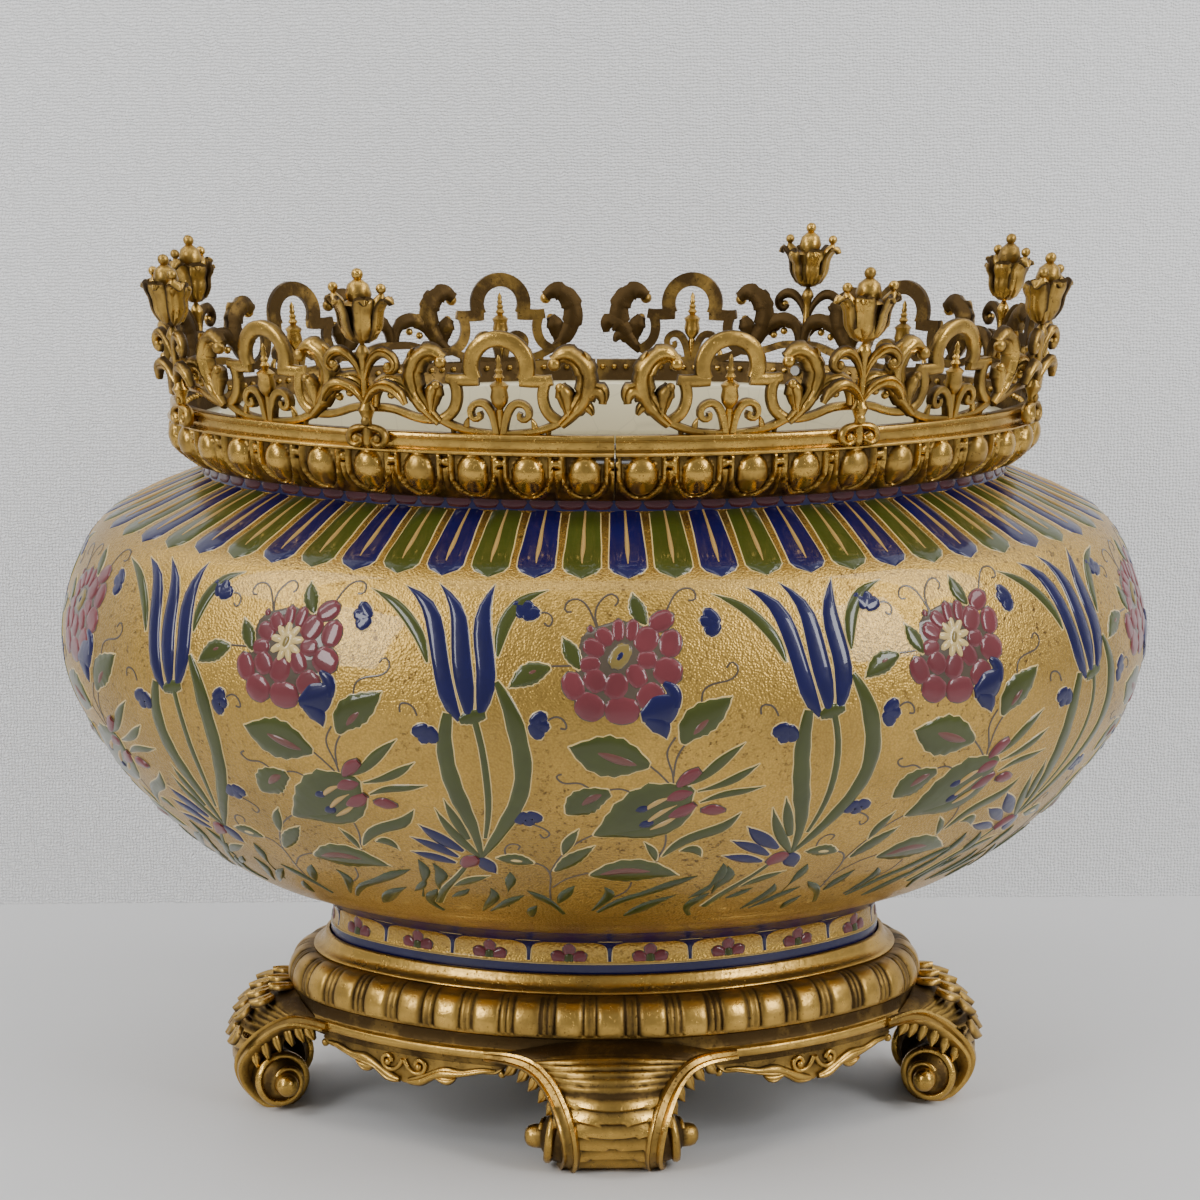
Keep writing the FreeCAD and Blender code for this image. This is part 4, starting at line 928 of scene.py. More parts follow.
def build_bowl(colours):
    """Wall of the bowl: the outline spline outside, the lip and the cream inner face, round the oval."""
    mould = Mould()
    outer = [(102.4, 51.0), (111.8, 51.0), (112.9, 51.9), (113.2, 53.0), (113.0, 62.0), (112.8, 70.0)]
    outer = outer + [(113.0, 71.2), (113.0, 74.4), (112.4, 75.6)]
    along = np.linspace(2, 266.4, 84)
    wall = list(zip(np.interp(along, STEPS, HALF), np.interp(along, STEPS, LEVEL)))
    section = outer + wall + list(BOWL_INNER) + [(102.4, 63.2)]
    made = ring_of(section, TURNS)
    drain_at = len(section) - 1
    ring = turned([(6.0, 74.0), (6.0, 63.2)], TURNS)
    ring = np.roll(ring, TURNS // 4, axis=1).transpose(1, 0, 2)
    made = np.concatenate([made[:, :drain_at], ring, made[:, drain_at:]], 1)
    proud = np.ones(made.shape[1])
    proud[len(outer) + len(wall) + 1 :] = 0.0
    proud[:4] = 0.0
    mould.tube(made, proud, ring=True)
    finish = bowl_finish(colours.gold_ground, colours.cream_glaze)
    nodes = ("porcelain_foot", "porcelain_bowl", "porcelain_shoulder")
    return [mould.cast("bowl_wall", finish, "porcelain", nodes, 40.0)]


def build_enamels(colours, counts):
    """All painted ornament, one piece for each colour."""
    names = ("blue", "green", "dark_green", "crimson", "plum", "pink", "pale", "olive", "dark", "gold")
    moulds = {name: Mould() for name in names}
    add_tongues(moulds, counts.tongue_pairs)
    for repeat, share in enumerate(REPEATS):
        add_flowers(moulds, repeat, share)
    add_foot_band(moulds, counts.foot_panels)
    add_scales(moulds, counts.neck_scales)
    made = []
    for name in names:
        light = 1.3 if name in ("pale", "gold") else 2.2
        material = enamel_finish("enamel_" + name, getattr(colours, name), light)
        made.append(moulds[name].cast("enamel_" + name, material, "porcelain", (), 60.0))
    return made


def height_ring(start, end, step, section, relief, half_width):
    """Part of a ring between two shares: a closed section, each point moved outward by relief(x, level).
    The section is rows of (half-width, level, share of the relief that this row takes)."""
    section = np.asarray(section, float)
    length = oval_length(half_width)
    count = int(round((end - start) * length / step)) + 1
    share = np.linspace(start, end, count)
    turn = np.unwrap(normal_angle(half_width, share))
    along = share * length
    rise = relief(along[:, None], section[None, :, 1]) * section[None, :, 2]
    x, y = oval_point(section[None, :, 0] + rise, turn[:, None] + 0 * rise)
    grid = np.stack([x, y, np.broadcast_to(section[:, 1], x.shape)], -1)
    return grid, rise


def egg_relief(along, level, pitch, offset, rise):
    """Egg and dart: the greatest of an ellipsoid, a U strap round it, a dart and a bead between two."""
    x = (along - offset + pitch / 2) % pitch - pitch / 2
    egg = rise * np.sqrt(np.clip(1 - (x / 6.0) ** 2 - ((level - 277.4) / 8.0) ** 2, 0, 1))
    below = np.sqrt((x / 8.4) ** 2 + ((level - 278.4) / 10.6) ** 2)
    ring = np.where(level < 278.4, (below - 1) * 9.2, np.abs(x) - 8.4)
    strap = 2.1 * np.sqrt(np.clip(1 - (ring / 1.1) ** 2, 0, 1))
    away = pitch / 2 - np.abs(x)
    spear = np.clip((level - 269.0) / 9.5, 0.12, 1.0) * 1.9
    dart = 2.2 * np.clip(1 - away / spear, 0, 1) * (level < 280)
    bead = 2.0 * np.sqrt(np.clip(1 - (away / 1.6) ** 2 - ((level - 282.0) / 1.8) ** 2, 0, 1))
    return np.maximum.reduce([egg, strap, dart, bead])


def build_rim(colours, counts):
    """Cast rim in two halves: eggs and darts on the ovolo, two fine fillets above, beads inside."""
    pitch = oval_length(BAND_OUTER) / (2 * counts.eggs)
    levels = np.linspace(267.6, 284.4, 36)
    ground = np.interp(levels, (267.6, 271, 275, 279, 282, 284.4), (164.4, 168.7, 171.4, 172.6, 172.9, 172.9))
    section = [(161.3, 267.0, 0), (163.4, 267.0, 0)]
    section = section + [(g, z, min(1.0, (z - 267.4) / 0.8)) for g, z in zip(ground, levels)]
    section = section + [
        (174.6, 284.7, 0), (175.9, 285.2, 0), (176.1, 285.8, 0), (175.7, 286.4, 0), (174.4, 286.8, 0),
        (174.4, 287.1, 0), (174.8, 287.5, 0), (174.8, 290.2, 0), (174.5, 290.4, 0), (174.5, 290.7, 0),
        (174.9, 291.0, 0), (174.9, 292.1, 0), (174.4, 292.6, 0), (170.1, 292.6, 0), (169.6, 292.1, 0),
        (169.5, 283.4, 0), (165.0, 276.6, 0), (161.3, 274.6, 0),
    ]
    bronze = bronze_finish("rim_bronze", colours.gilt, colours.patina, 1.25)
    made = []
    rise = counts.egg_rise / MM
    gap = 0.3 / oval_length(BAND_OUTER)

    def relief(along, level):
        return egg_relief(along, level, pitch, 0.47 * pitch, rise)

    for side, start, end in (("right", gap, 0.5 - gap), ("left", 0.5 + gap, 1.0 - gap)):
        mould = Mould()
        grid, height = height_ring(start, end, 0.8, section, relief, BAND_OUTER)
        proud = 0.25 + 0.75 * np.clip(height / 2.2, 0, 1)
        smooth_rows = np.asarray(section)[:, 2] == 0
        proud = np.where(smooth_rows[None, :], 0.75, proud)
        proud[:, -5:] = 0.12
        mould.tube(grid, proud)
        beads = 92
        for number in range(beads):
            share = start + (end - start) * (number + 0.5) / beads
            spot = ball((0, 0, 0), 1.35, 6, 5)
            mould.tube(stood(spot, share, BAND_INNER - 0.2, 289.6), 0.7)
        made.append(mould.cast("rim_" + side, bronze, "gilt_bronze", ("rim_mount_" + side,), 50.0))
    return made


# Pendant inside an arch: radius and height over the rim
PENDANT = (
    (0.2, 8.5), (1.5, 9.5), (3.0, 11.6), (3.5, 13.8), (3.0, 16.6), (3.7, 18.2), (2.2, 19.4),
    (1.2, 20.0), (2.1, 21.2), (1.2, 22.5), (1.6, 23.6), (0.9, 24.6), (1.3, 25.6), (0.8, 26.6),
    (1.1, 27.6), (0.2, 29.6),
)
# Curled leaves of the gallery: path over the rim, half-widths, half-depths
SIDE_LEAF = (
    ((22.8, 3.8), (27.6, 8.6), (31.4, 14.8), (32.4, 21.6), (29.6, 27.6), (24.6, 30.0), (20.4, 27.6)),
    (1.8, 3.2, 4.4, 5.0, 4.8, 4.2, 2.6), (2, 2.6, 3.2, 3.6, 3.6, 3.2, 2.2),
)
INNER_LEAF = (
    ((25.6, 6.6), (25.0, 11.6), (24.2, 15.6), (22.6, 18.8)),
    (1.2, 2.8, 3.9, 2.2), (1.6, 2.2, 3.2, 2.4),
)
END_LEAF = (
    ((25.6, 6.4), (29.2, 11.6), (32.6, 15.8), (35.6, 17.0), (37.8, 15.0), (38.0, 11.8)),
    (2.0, 3.6, 4.6, 4.4, 3.4, 1.6), (2, 2.6, 3.2, 3.0, 2.4, 1.6),
)
STRAP_LEAF = (
    ((48.8, 9.0), (47.0, 15.6), (42.0, 18.8), (36.6, 17.6), (31.4, 12.4), (27.2, 7.0)),
    (2.0, 2.8, 3.6, 3.4, 2.6, 1.4), (2, 2.6, 3.0, 2.6, 2.2, 1.6),
)
# Scroll at an arch's foot: path over the rim
SCROLL = (
    (1.2, -0.4), (2.0, 4), (3.4, 8.6), (6.2, 11.4), (9.8, 10.6), (11.0, 7.6), (9.4, 5.4), (7.4, 6.4),
    (7.8, 8.2),
)


def add_arch(mould, share, depth, ends):
    """One repeat of the gallery: horseshoe arch, scrolls, pendant, and a pair of curled leaves.
    ends gives for each hand what stands there: a strap with a leaf to a finial, or an end leaf."""

    def place(grid, proud):
        mould.tube(stood(grid, share, GALLERY_FACE, RIM_TOP, LEAN), proud)

    def bar(path, width, section=STRAP, count=12, deep=None, out=None, lobes=0, bite=0.0):
        path = np.asarray(path, float)
        half = depth / 2 if deep is None else deep
        level = -depth / 2 if out is None else out
        path = np.stack([path[:, 0], np.full(len(path), level), path[:, 1]], 1)
        return swept(path, width, half, section, count, lobes, bite)

    ridge = np.clip(STRAP[:, 1], 0.2, 1)
    vein = np.clip(LEAF[:, 1] + 0.1, 0.0, 1)
    turn = np.radians(np.linspace(-26, 206, 15))
    arch = np.stack([10.5 * np.cos(turn), 24.9 + 10.5 * np.sin(turn)], 1)
    place(bar(arch, 3.0, STRAP, 30), ridge)
    pendant = turned(PENDANT, 10)
    pendant[..., 1] -= 1.6
    place(pendant, 0.9)
    place(bar(((0, -0.6), (0, 3), (0, 6), (0, 10)), (0.8, 1.2, 1.6, 1.2), ROUND, 7, 1.3), 0.8)
    for hand, end in zip((-1, 1), ends):

        def lay(grid, proud):
            if hand < 0:
                grid = mirrored(grid, hand)[:, ::-1]
                proud = proud[::-1] if np.ndim(proud) else proud
            place(grid, proud)

        def strap(path, width, count):
            lay(bar(path, width, STRAP, count), ridge)

        def leaf(shape, count, out, lobes, bite):
            path, width, deep = shape
            lay(bar(path, width, LEAF, count, deep, out, lobes, bite), vein)

        strap(((7.6, 19.9), (12, 19.9), (16.5, 19.9), (19.8, 20.4)), (2.1, 2.4, 2.2, 2.0), 7)
        strap(((17.8, 20.6), (16.4, 17), (16.3, 12.4), (18.4, 7.6), (22.6, 4.6)), 2.1, 14)
        lay(bar(SCROLL, (1.4, 1.4, 1.6, 1.6, 1.4, 1.3, 1.2, 1.2, 0.9), STRAP, 26, 1.9, -1.5), ridge)
        strap(((0.8, 0.2), (5.5, 0.2), (11.5, 0.8), (17.5, 2.4), (22.6, 4.8)), (1.0, 1.4, 1.5, 1.6, 1.6), 12)
        lay(bar(((13.0, 1.4), (12.8, 3.6), (11.8, 6.2)), (1.2, 1.2, 0.2), ROUND, 6, 1.2), 0.8)
        leaf(SIDE_LEAF, 40, 0.4, 5, 0.22)
        lay(bar(((30.6, 25.4), (32.4, 28.4), (31.4, 31.4)), (2.2, 2.0, 0.2), LEAF, 7, 2.0, 0.6), vein)
        lay(ball((20.8, 2.0, 26.6), 2.5, 10, 7), 1.0)
        leaf(INNER_LEAF, 16, 0.6, 3, 0.16)
        lay(ball((22.9, 2.0, 18.0), 1.9, 8, 6), 1.0)
        if end == "leaf":
            leaf(END_LEAF, 34, 0.0, 4, 0.26)
            lay(bar(((29.4, 10.6), (32.6, 10.4), (34.4, 7.6)), (2.6, 2.4, 0.8), LEAF, 10, 2.0, -0.4), vein)
        elif end == "strap":
            path = ((22.4, 4.8), (28.0, 4.6), (34.0, 5.6), (41.0, 7.8), (49.6, 8.2))
            strap(path, (1.7, 1.7, 1.6, 1.6, 1.6), 18)
            leaf(STRAP_LEAF, 30, 0.2, 4, 0.2)
            lay(ball((41.0, 0.8, 13.6), 1.7, 7, 5), 1.0)
            lay(ball((36.4, 0.8, 11.8), 1.7, 7, 5), 1.0)
        else:
            strap(((22.4, 4.8), (24.6, 6.0), (26.2, 7.8)), (1.7, 1.5, 0.8), 6)
    for hand in (-1, 1):
        foot = turned([(0.9, -1.4), (1.0, 0.0), (1.2, 1.2)], 8, (hand * 18.0, -depth / 2))
        place(foot, 0.4)


def build_gallery(colours, counts):
    """Pierced gallery: five arches on each side, tied by straps under the finials, open at the seams."""
    depth = counts.strap_depth / MM
    bronze = bronze_finish("gallery_bronze", colours.gilt, colours.patina, 1.7, 0.26)
    made = []
    for side in ("right", "left"):
        mould = Mould()
        for number in range(5):
            share = FIRST_ARCH + number * ARCH_PITCH
            ends = ["leaf" if number == 0 else "strap", "leaf" if number == 4 else "strap"]
            if side == "left":
                share, ends = -share, ends[::-1]
            if side == "left" and number == 4:
                ends[0] = "broken"
            add_arch(mould, share, depth, ends)
        made.append(mould.cast("gallery_arches_" + side, bronze, "gilt_bronze", ("gallery_" + side,), 50.0))
    return made


# Finial: radius and height of its stem, then radius, height and share of the lobes of its cup
STEM = (
    (0.3, -6.4), (1.5, -5.8), (2.2, -3.4), (1.9, 0.5), (1.7, 4.0), (2.6, 6.4), (3.4, 8.0), (2.4, 9.4),
    (1.9, 11.5), (1.7, 18), (1.6, 24), (1.9, 27), (2.9, 28.6), (2.4, 30.2), (1.7, 31.4), (0.3, 33.4),
)
CUP = np.array(
    [
        (0.4, 32.6, 0), (3.2, 33.0, 0.5), (5.8, 34.8, 1), (7.2, 37.6, 1), (7.0, 41.0, 1), (6.4, 44.0, 0.8),
        (7.2, 47.0, 0.4), (5.0, 48.6, 0), (0.4, 48.8, 0),
    ]
)
# Petals round the cup: direction in degrees, height, reach; then buds: across, out, foot, top, radius
FINIAL_PETALS = (
    (0, 50, 12.4), (58, 50, 10.6), (122, 50, 10.6), (180, 50, 12.4), (238, 49, 9.6), (302, 49, 9.6),
)
FINIAL_BUDS = ((0, 0, 44, 56.6, 5.0), (6.4, 1.0, 43, 51.6, 3.0), (-6.4, 1.0, 43, 51.6, 3.0))
# Pairs on both sides of the stem (across, out, up): crooks, low leaves and the foot's scrolls
CROOK = (
    (0, 0.2, 17.5), (1.6, 0.6, 22.6), (4.2, 1.2, 27.0), (8.6, 1.6, 29.8), (12.8, 1.8, 28.2),
    (14.0, 2.0, 24.6), (11.4, 2.0, 22.8), (9.8, 2.0, 24.8),
)
LOW_LEAF = ((0, 1.0, 10.5), (4.2, 1.8, 15.6), (9.6, 2.4, 17.6), (14.6, 2.2, 15.2), (17.2, 1.6, 10.8))
FOOT_SCROLL = (
    (0, 0, 1.6), (3.0, 0.2, 1.2), (6.8, 0.4, -0.4), (7.4, 0.5, -3.4), (4.8, 0.6, -5.2), (2.4, 0.6, -3.4),
    (4.2, 0.6, -2.0),
)


def finial_parts():
    """One finial in local points: double-scroll foot, stem, low leaves, crooks, cup of petals and buds."""
    parts = []
    shift = 2.2

    def bar(path, hand, width, deep, section, count, lobes=0, bite=0.0):
        path = np.asarray(path, float) * (hand, 1, 1) + (0, shift, 0)
        return swept(path, width, deep, section, count, lobes, bite)

    made = turned(STEM, 10)
    made[..., 1] += shift
    parts.append((made, 0.9))
    turn = np.arange(24) * math.pi / 12
    lobes = 1 + 0.13 * np.cos(5 * turn[None, :]) * CUP[:, 2:]
    radius = CUP[:, :1] * lobes
    made = np.stack([radius * np.cos(turn), shift + 0.72 * radius * np.sin(turn), CUP[:, 1:2] + 0 * turn], -1)
    parts.append((made, 0.35 + 0.65 * (lobes > 1.02)))
    vein = np.clip(LEAF[:, 1] + 0.1, 0, 1)
    for angle, rise, reach in FINIAL_PETALS:
        x, y = math.cos(math.radians(angle)), 0.75 * math.sin(math.radians(angle))
        line = ((4.6, 35), (7.4, 39.6), (8.0, 43.6), (9.8, rise - 2.2))
        line = line + ((reach, rise - 0.4), (reach + 1.2, rise - 2.6))
        line = np.array([(x * out, y * out + shift, up) for out, up in line])
        widths, facing = np.array((2.2, 3.8, 3.8, 4.2, 3.4, 0.8)), np.array((x, y, 0.1))
        parts.append((swept_facing(line, widths, 1.3, LEAF, facing, 16), vein))
    for x, y, low, high, wide in FINIAL_BUDS:
        splay = 0.42 * np.sign(x)
        levels = ((0.3, low), (wide * 0.55, low + 1), (wide, low + 0.55 * (high - low)))
        levels = levels + ((wide * 0.8, high - 2.0), (wide * 0.3, high), (0.3, high + 0.4))
        made = turned(levels, 10)
        made[..., 0] += x + (made[..., 2] - low) * splay
        made[..., 1] += shift + y
        parts.append((made, 0.7))
        tip = (x + (high - low) * splay, shift + y, high + 1.8)
        parts.append((ball(tip, 2.3 if x == 0 else 2.0, 9, 7), 1.0))
    for hand in (-1, 1):
        widths, depths = (0.9, 1.2, 1.7, 2.2, 2.0, 1.7, 1.4, 1.0), (1.2, 1.4, 1.8, 2.2, 2.2, 1.8, 1.6, 1.2)
        parts.append((bar(CROOK, hand, widths, depths, LEAF, 26), vein))
        parts.append((ball((hand * 11.4, shift + 2.4, 24.8), 1.8, 8, 6), 1.0))
        widths, depths = (1.2, 2.0, 2.8, 2.6, 1.2), (1.4, 2.0, 2.4, 2.2, 1.4)
        parts.append((bar(LOW_LEAF, hand, widths, depths, LEAF, 20, 4, 0.2), vein))
        parts.append((bar(FOOT_SCROLL, hand, (1.2, 1.4, 1.5, 1.4, 1.3, 1.1, 0.9), 2.0, ROUND, 22), 0.9))
        parts.append((ball((hand * 4.4, shift + 1.2, -2.8), 1.7, 8, 6), 1.0))
    made = turned([(0.2, 0), (1.7, 0.1), (1.7, 0.7), (1.2, 1.1), (0.2, 1.2)], 10)
    made = np.stack([made[..., 0], shift + 1.4 + made[..., 2], made[..., 1] + 3.6], -1)
    parts.append((made, 0.6))
    return parts


def build_finials(colours):
    """Flower finials on the outside of the rim: four on the right half, three left on the other."""
    bronze = bronze_finish("finial_bronze", colours.gilt, colours.patina, 1.9, 0.26)
    parts = finial_parts()
    made = []
    for side, hand, count in (("right", 1, 4), ("left", -1, 3)):
        for number in range(count):
            share = hand * (FIRST_FINIAL + number * ARCH_PITCH)
            mould = Mould()
            for grid, proud in parts:
                leant = np.array(grid)
                leant[..., 1] = leant[..., 1] + np.clip(leant[..., 2], 0, None) * LEAN
                mould.tube(planted(leant, share, BAND_OUTER + 0.2, RIM_TOP), proud)
            node = "finial_%s_%d" % (side, number + 1)
            made.append(mould.cast("flower_%s_%d" % (side, number + 1), bronze, "gilt_bronze", (node,), 50.0))
    return made


# Collar (half-width, level), and the plinth with how far each row stands proud
COLLAR = (
    (113.9, 64.2), (120.4, 64.2), (120.7, 64.7), (120.5, 65.2), (119.0, 65.7), (117.6, 66.6), (116.6, 68.0),
    (116.0, 69.6), (115.7, 70.6), (115.2, 71.0), (114.2, 71.0), (113.9, 70.6),
)
PLINTH = np.array(
    [
        (88.0, 36.1, 0), (128.6, 36.1, 0.1), (129.3, 36.5, 0.15), (129.4, 39.0, 0.15),
        (130.2, 39.4, 0.6), (131.5, 39.5, 1), (132.0, 40.0, 1), (132.0, 42.6, 1), (131.5, 43.1, 1),
        (130.0, 43.3, 0.8), (129.4, 44.0, 0), (129.0, 45.5, 0), (128.9, 47.4, 0), (129.2, 48.6, 0),
        (128.8, 49.0, 0.1), (88.0, 49.0, 0),
    ]
)


def gadroon_mould(count, rise):
    """Ring whose section is a quarter of an ellipse, its front raised by the gadroons."""
    turn = np.radians(np.linspace(88, -14, 26))
    outline = [(121.5 + 9.2 * math.cos(t), 53.0 + 11.0 * math.sin(t), 1.0) for t in turn]
    section = [(114.2, 63.9, 0), (119.5, 64.0, 0)] + outline
    section = section + [(130.0, 50.0, 0), (130.0, 49.6, 0), (129.6, 49.1, 0), (114.2, 49.1, 0)]
    pitch = oval_length(GADROON_FACE) / count

    def relief(along, level):
        """Gadroons: the greater of thin ribs and a barrel, the root of one less its share's sixth power."""
        x = (along + pitch / 2) % pitch - pitch / 2
        barrel = rise * np.clip(1 - (x / 5.4) ** 6, 0, 1) ** 0.5 - 0.012 * x**2
        ribs = 0.9 * np.sqrt(np.clip(1 - ((np.abs(x) - 7.0) / 1.15) ** 2, 0, 1))
        last = pitch / 2 - np.abs(x)
        ribs = np.maximum(ribs, 0.9 * np.sqrt(np.clip(1 - ((last - 1.2) / 1.15) ** 2, 0, 1)))
        fade = np.clip((64.4 - level) / 1.2, 0, 1)
        return (np.maximum(barrel, ribs) - rise * 0.55) * fade

    grid, height = height_ring(0.0, 1.0, 0.7, section, relief, GADROON_FACE)
    mould = Mould()
    proud = np.clip(0.35 + height / rise * 0.9, 0.0, 1)
    proud[:, -5:] = 0.45
    mould.tube(grid[:-1], proud[:-1], ring=True)
    return mould


def build_socle(colours, counts):
    """Collar round the bowl's foot, ring of gadroons under it, and the moulded plinth."""
    bronze = bronze_finish("socle_bronze", colours.gilt, colours.patina, 1.15, 0.28)
    collar, plinth = Mould(), Mould()
    collar.tube(ring_of(COLLAR, TURNS), 0.8, ring=True)
    plinth.tube(ring_of(PLINTH[:, :2], TURNS), PLINTH[:, 2], ring=True)
    gadroons = gadroon_mould(counts.gadroons, counts.gadroon_rise / MM)
    return [
        collar.cast("collar_band", bronze, "gilt_bronze", ("socle_collar",), 50.0),
        gadroons.cast("gadroons", bronze, "gilt_bronze", ("gadroon_ring",), 50.0),
        plinth.cast("plinth_moulding", bronze, "gilt_bronze", ("plinth",), 50.0),
    ]


# Foot: the front seen along its middle and along its straps (along, out, up), and the hollow behind
FOOT_MIDDLE = (
    (0, -3.0, 48.6), (0, 4.5, 47.0), (0, 11.4, 43.6), (0, 16.6, 39.2), (0, 20.2, 33.4), (0, 22.2, 27.0),
    (0, 22.5, 20.6), (0, 20.6, 14.2), (0, 16.6, 7.6), (0, 11.8, 2.6), (0, 6.0, 0.2),
)
FOOT_STRAP = (
    (50.0, 0.2, 41.2), (40.0, 1.4, 41.0), (31.5, 4.0, 39.4), (24.8, 8.4, 35.6), (20.0, 13.6, 30.2),
    (16.8, 18.2, 24.0), (14.9, 20.6, 17.6), (14.2, 19.4, 11.2), (14.6, 15.4, 5.2), (16.2, 10.0, 1.4),
    (18.0, 4.6, 0.9),
)
FOOT_HOLLOW = (
    (-13.0, 36.4), (-8.0, 36.2), (-2.0, 34.6), (2.4, 31.4), (4.6, 27.2), (4.4, 22.4), (1.6, 17.6),
    (-2.4, 13.0), (-3.4, 8.0), (-1.0, 3.6), (3.0, 0.6),
)
# Leaves on a strap's outer side: share of the way down, length, spread
FOOT_LEAVES = (
    (0.17, 3.4, 0.9), (0.24, 4.0, 0.7), (0.31, 4.4, 0.5), (0.39, 4.4, 0.3), (0.47, 4.2, 0.1),
    (0.55, 3.8, -0.1),
)
# Middle of a volute: distance out from the plinth's edge, level
VOLUTE_EYE = (5.7, 12.0)
# Cone of a volute with its boss: radius, distance from the foot's middle, how far it stands proud
VOLUTE = np.array(
    [
        (10.8, 12.0, 0), (11.0, 17.0, 0.1), (10.2, 19.0, 0.2), (9.6, 21.6, 0.1), (8.9, 23.4, 0.2),
        (7.4, 24.6, 0.1), (6.2, 25.6, 0.1), (4.8, 26.4, 0.3), (4.7, 29.6, 0.9), (4.1, 31.4, 1),
        (2.6, 32.6, 1), (0.2, 33.0, 1),
    ]
)


def foot_panel(middle, strap, hollow):
    """Front between the straps, and the back: middle + (strap - middle) s^2 out and up, and s times the
    strap's place along, raised along its normal by reeds above and by overlapping scales below."""
    t = np.linspace(0, 1, len(middle))
    s = np.linspace(-1, 1, 25)[None, :]
    inner = np.maximum(strap[:, 0] - 1.6, 0)[:, None]
    out = middle[:, None, 1] + (strap[:, None, 1] - middle[:, None, 1]) * s**2
    up = middle[:, None, 2] + (strap[:, None, 2] - middle[:, None, 2]) * s**2
    down = t[:, None] + 0.02 * (1 - s**2)
    reeds = 0.75 * np.abs(np.sin(down * 66)) * np.clip((0.44 - down) / 0.03, 0, 1)
    reeds = reeds * np.clip((down - 0.16) / 0.05, 0, 1)
    scale = ((down - 0.44) / 0.078) % 1.0
    scales = 1.5 * scale**0.7 * np.clip((down - 0.44) / 0.03, 0, 1)
    lift = reeds + scales
    lean = np.stack([np.gradient(up, axis=0), -np.gradient(out, axis=0)], -1)
    lean = -lean / np.linalg.norm(lean, axis=2, keepdims=True)
    face = np.stack([inner * s, out + lift * lean[..., 0], up + lift * lean[..., 1]], -1)
    width = np.minimum(inner, 24.0) * s
    rear = np.stack([width, hollow[:, None, 0] + 0 * width, hollow[:, None, 1] + 0 * width], -1)
    proud = np.concatenate([np.clip(0.05 + lift / 1.5, 0, 0.85), np.zeros_like(lift)], 1)
    return np.concatenate([face, rear[:, ::-1]], 1), proud


def foot_strap(strap, hand):
    """Ridged strap at one side of the panel, its section turned from outward above to downward below."""
    t = np.linspace(0, 1, len(strap))
    marks = (0, 0.3, 0.62, 0.85, 1)
    outward = np.interp(t, marks, (1, 0.9, 0.95, 0.7, 0.0))
    upward = np.interp(t, marks, (0.25, 0.5, 0.1, -0.6, -1.0))
    wide = np.interp(t, (0, 0.25, 0.55, 1), (2.1, 2.9, 3.4, 3.0))
    facing = np.stack([0.25 * hand * t, outward, upward], 1)
    return swept_facing(strap * (hand, 1, 1), wide, 2.1, RIDGED, facing)


def foot_flank(strap, hollow, hand):
    """Side of the leg: five lines from the strap's outer edge, through half-way, to the hollow behind."""
    t = np.linspace(0, 1, len(strap))
    edge = strap[:, 0] + np.interp(t, (0, 0.3, 1), (0.0, 1.6, 2.2))
    half_out, half_up = 0.5 * (strap[:, 1] + hollow[:, 0]), 0.5 * (strap[:, 2] + hollow[:, 1])
    places = (
        (edge - 3.0, strap[:, 1] - 0.6, strap[:, 2] - 0.4),
        (edge, strap[:, 1] - 1.0, strap[:, 2] - 1.0),
        (np.minimum(edge, 26.0) - 1.0, half_out - 0.5, half_up - 0.5),
        (np.minimum(edge, 24.0) - 2.0, hollow[:, 0], hollow[:, 1]),
        (np.minimum(edge, 24.0) - 8.0, hollow[:, 0] + 0.4, hollow[:, 1]),
    )
    flank = np.stack([np.stack([hand * x, y, z], -1) for x, y, z in places], 1)
    return flank if hand > 0 else flank[:, ::-1]


def volute_ridge(hand):
    """Ridge that winds outward on the volute's cone while its distance from the eye falls."""
    fall = np.linspace(0, 1, 72)
    turn = math.radians(-75) - fall * math.radians(600)
    radius = np.interp(fall, (0, 0.55, 0.85, 1), (11.4, 9.2, 6.8, 4.8))
    reach = np.interp(fall, (0, 0.3, 0.6, 1), (17.6, 20.4, 24.0, 26.4))
    out, up = VOLUTE_EYE[0] + radius * np.cos(turn), VOLUTE_EYE[1] + radius * np.sin(turn)
    ridge = np.stack([hand * reach, out, np.maximum(up, 2.0)], 1)
    return tube_round(ridge, np.interp(fall, (0, 0.6, 1), (2.2, 1.7, 1.1)), 8)


def volute_cone(hand):
    """Cone of the volute with its boss, turned about a line along the plinth."""
    cone = turned(VOLUTE[:, :2], 24)
    cone = np.stack([hand * cone[..., 2], VOLUTE_EYE[0] + cone[..., 0], VOLUTE_EYE[1] + cone[..., 1]], -1)
    return cone[:, ::-1] if hand < 0 else cone


def strap_leaves(strap, hand):
    """Acanthus leaves along the strap's outer side."""
    t = np.linspace(0, 1, len(strap))
    made = []
    for place, size, tilt in FOOT_LEAVES:
        x, y, z = (np.interp(place, t, strap[:, axis]) for axis in range(3))
        line = [(x + 1.4, y - 1.2, z - 1.4), (x + 2.0 + tilt, y - 1.4, z - 3.2 - 0.3 * size)]
        line.append((x + 3.0 + 1.8 * tilt, y - 2.8, z - 3.4 - size))
        line, way = np.array(line) * (hand, 1, 1), np.array((0.4 * hand, 0.9, 0.2))
        made.append(swept_facing(line, np.array((2.0, 2.5, 0.4)), 1.5, LEAF, way, 8))
    return made


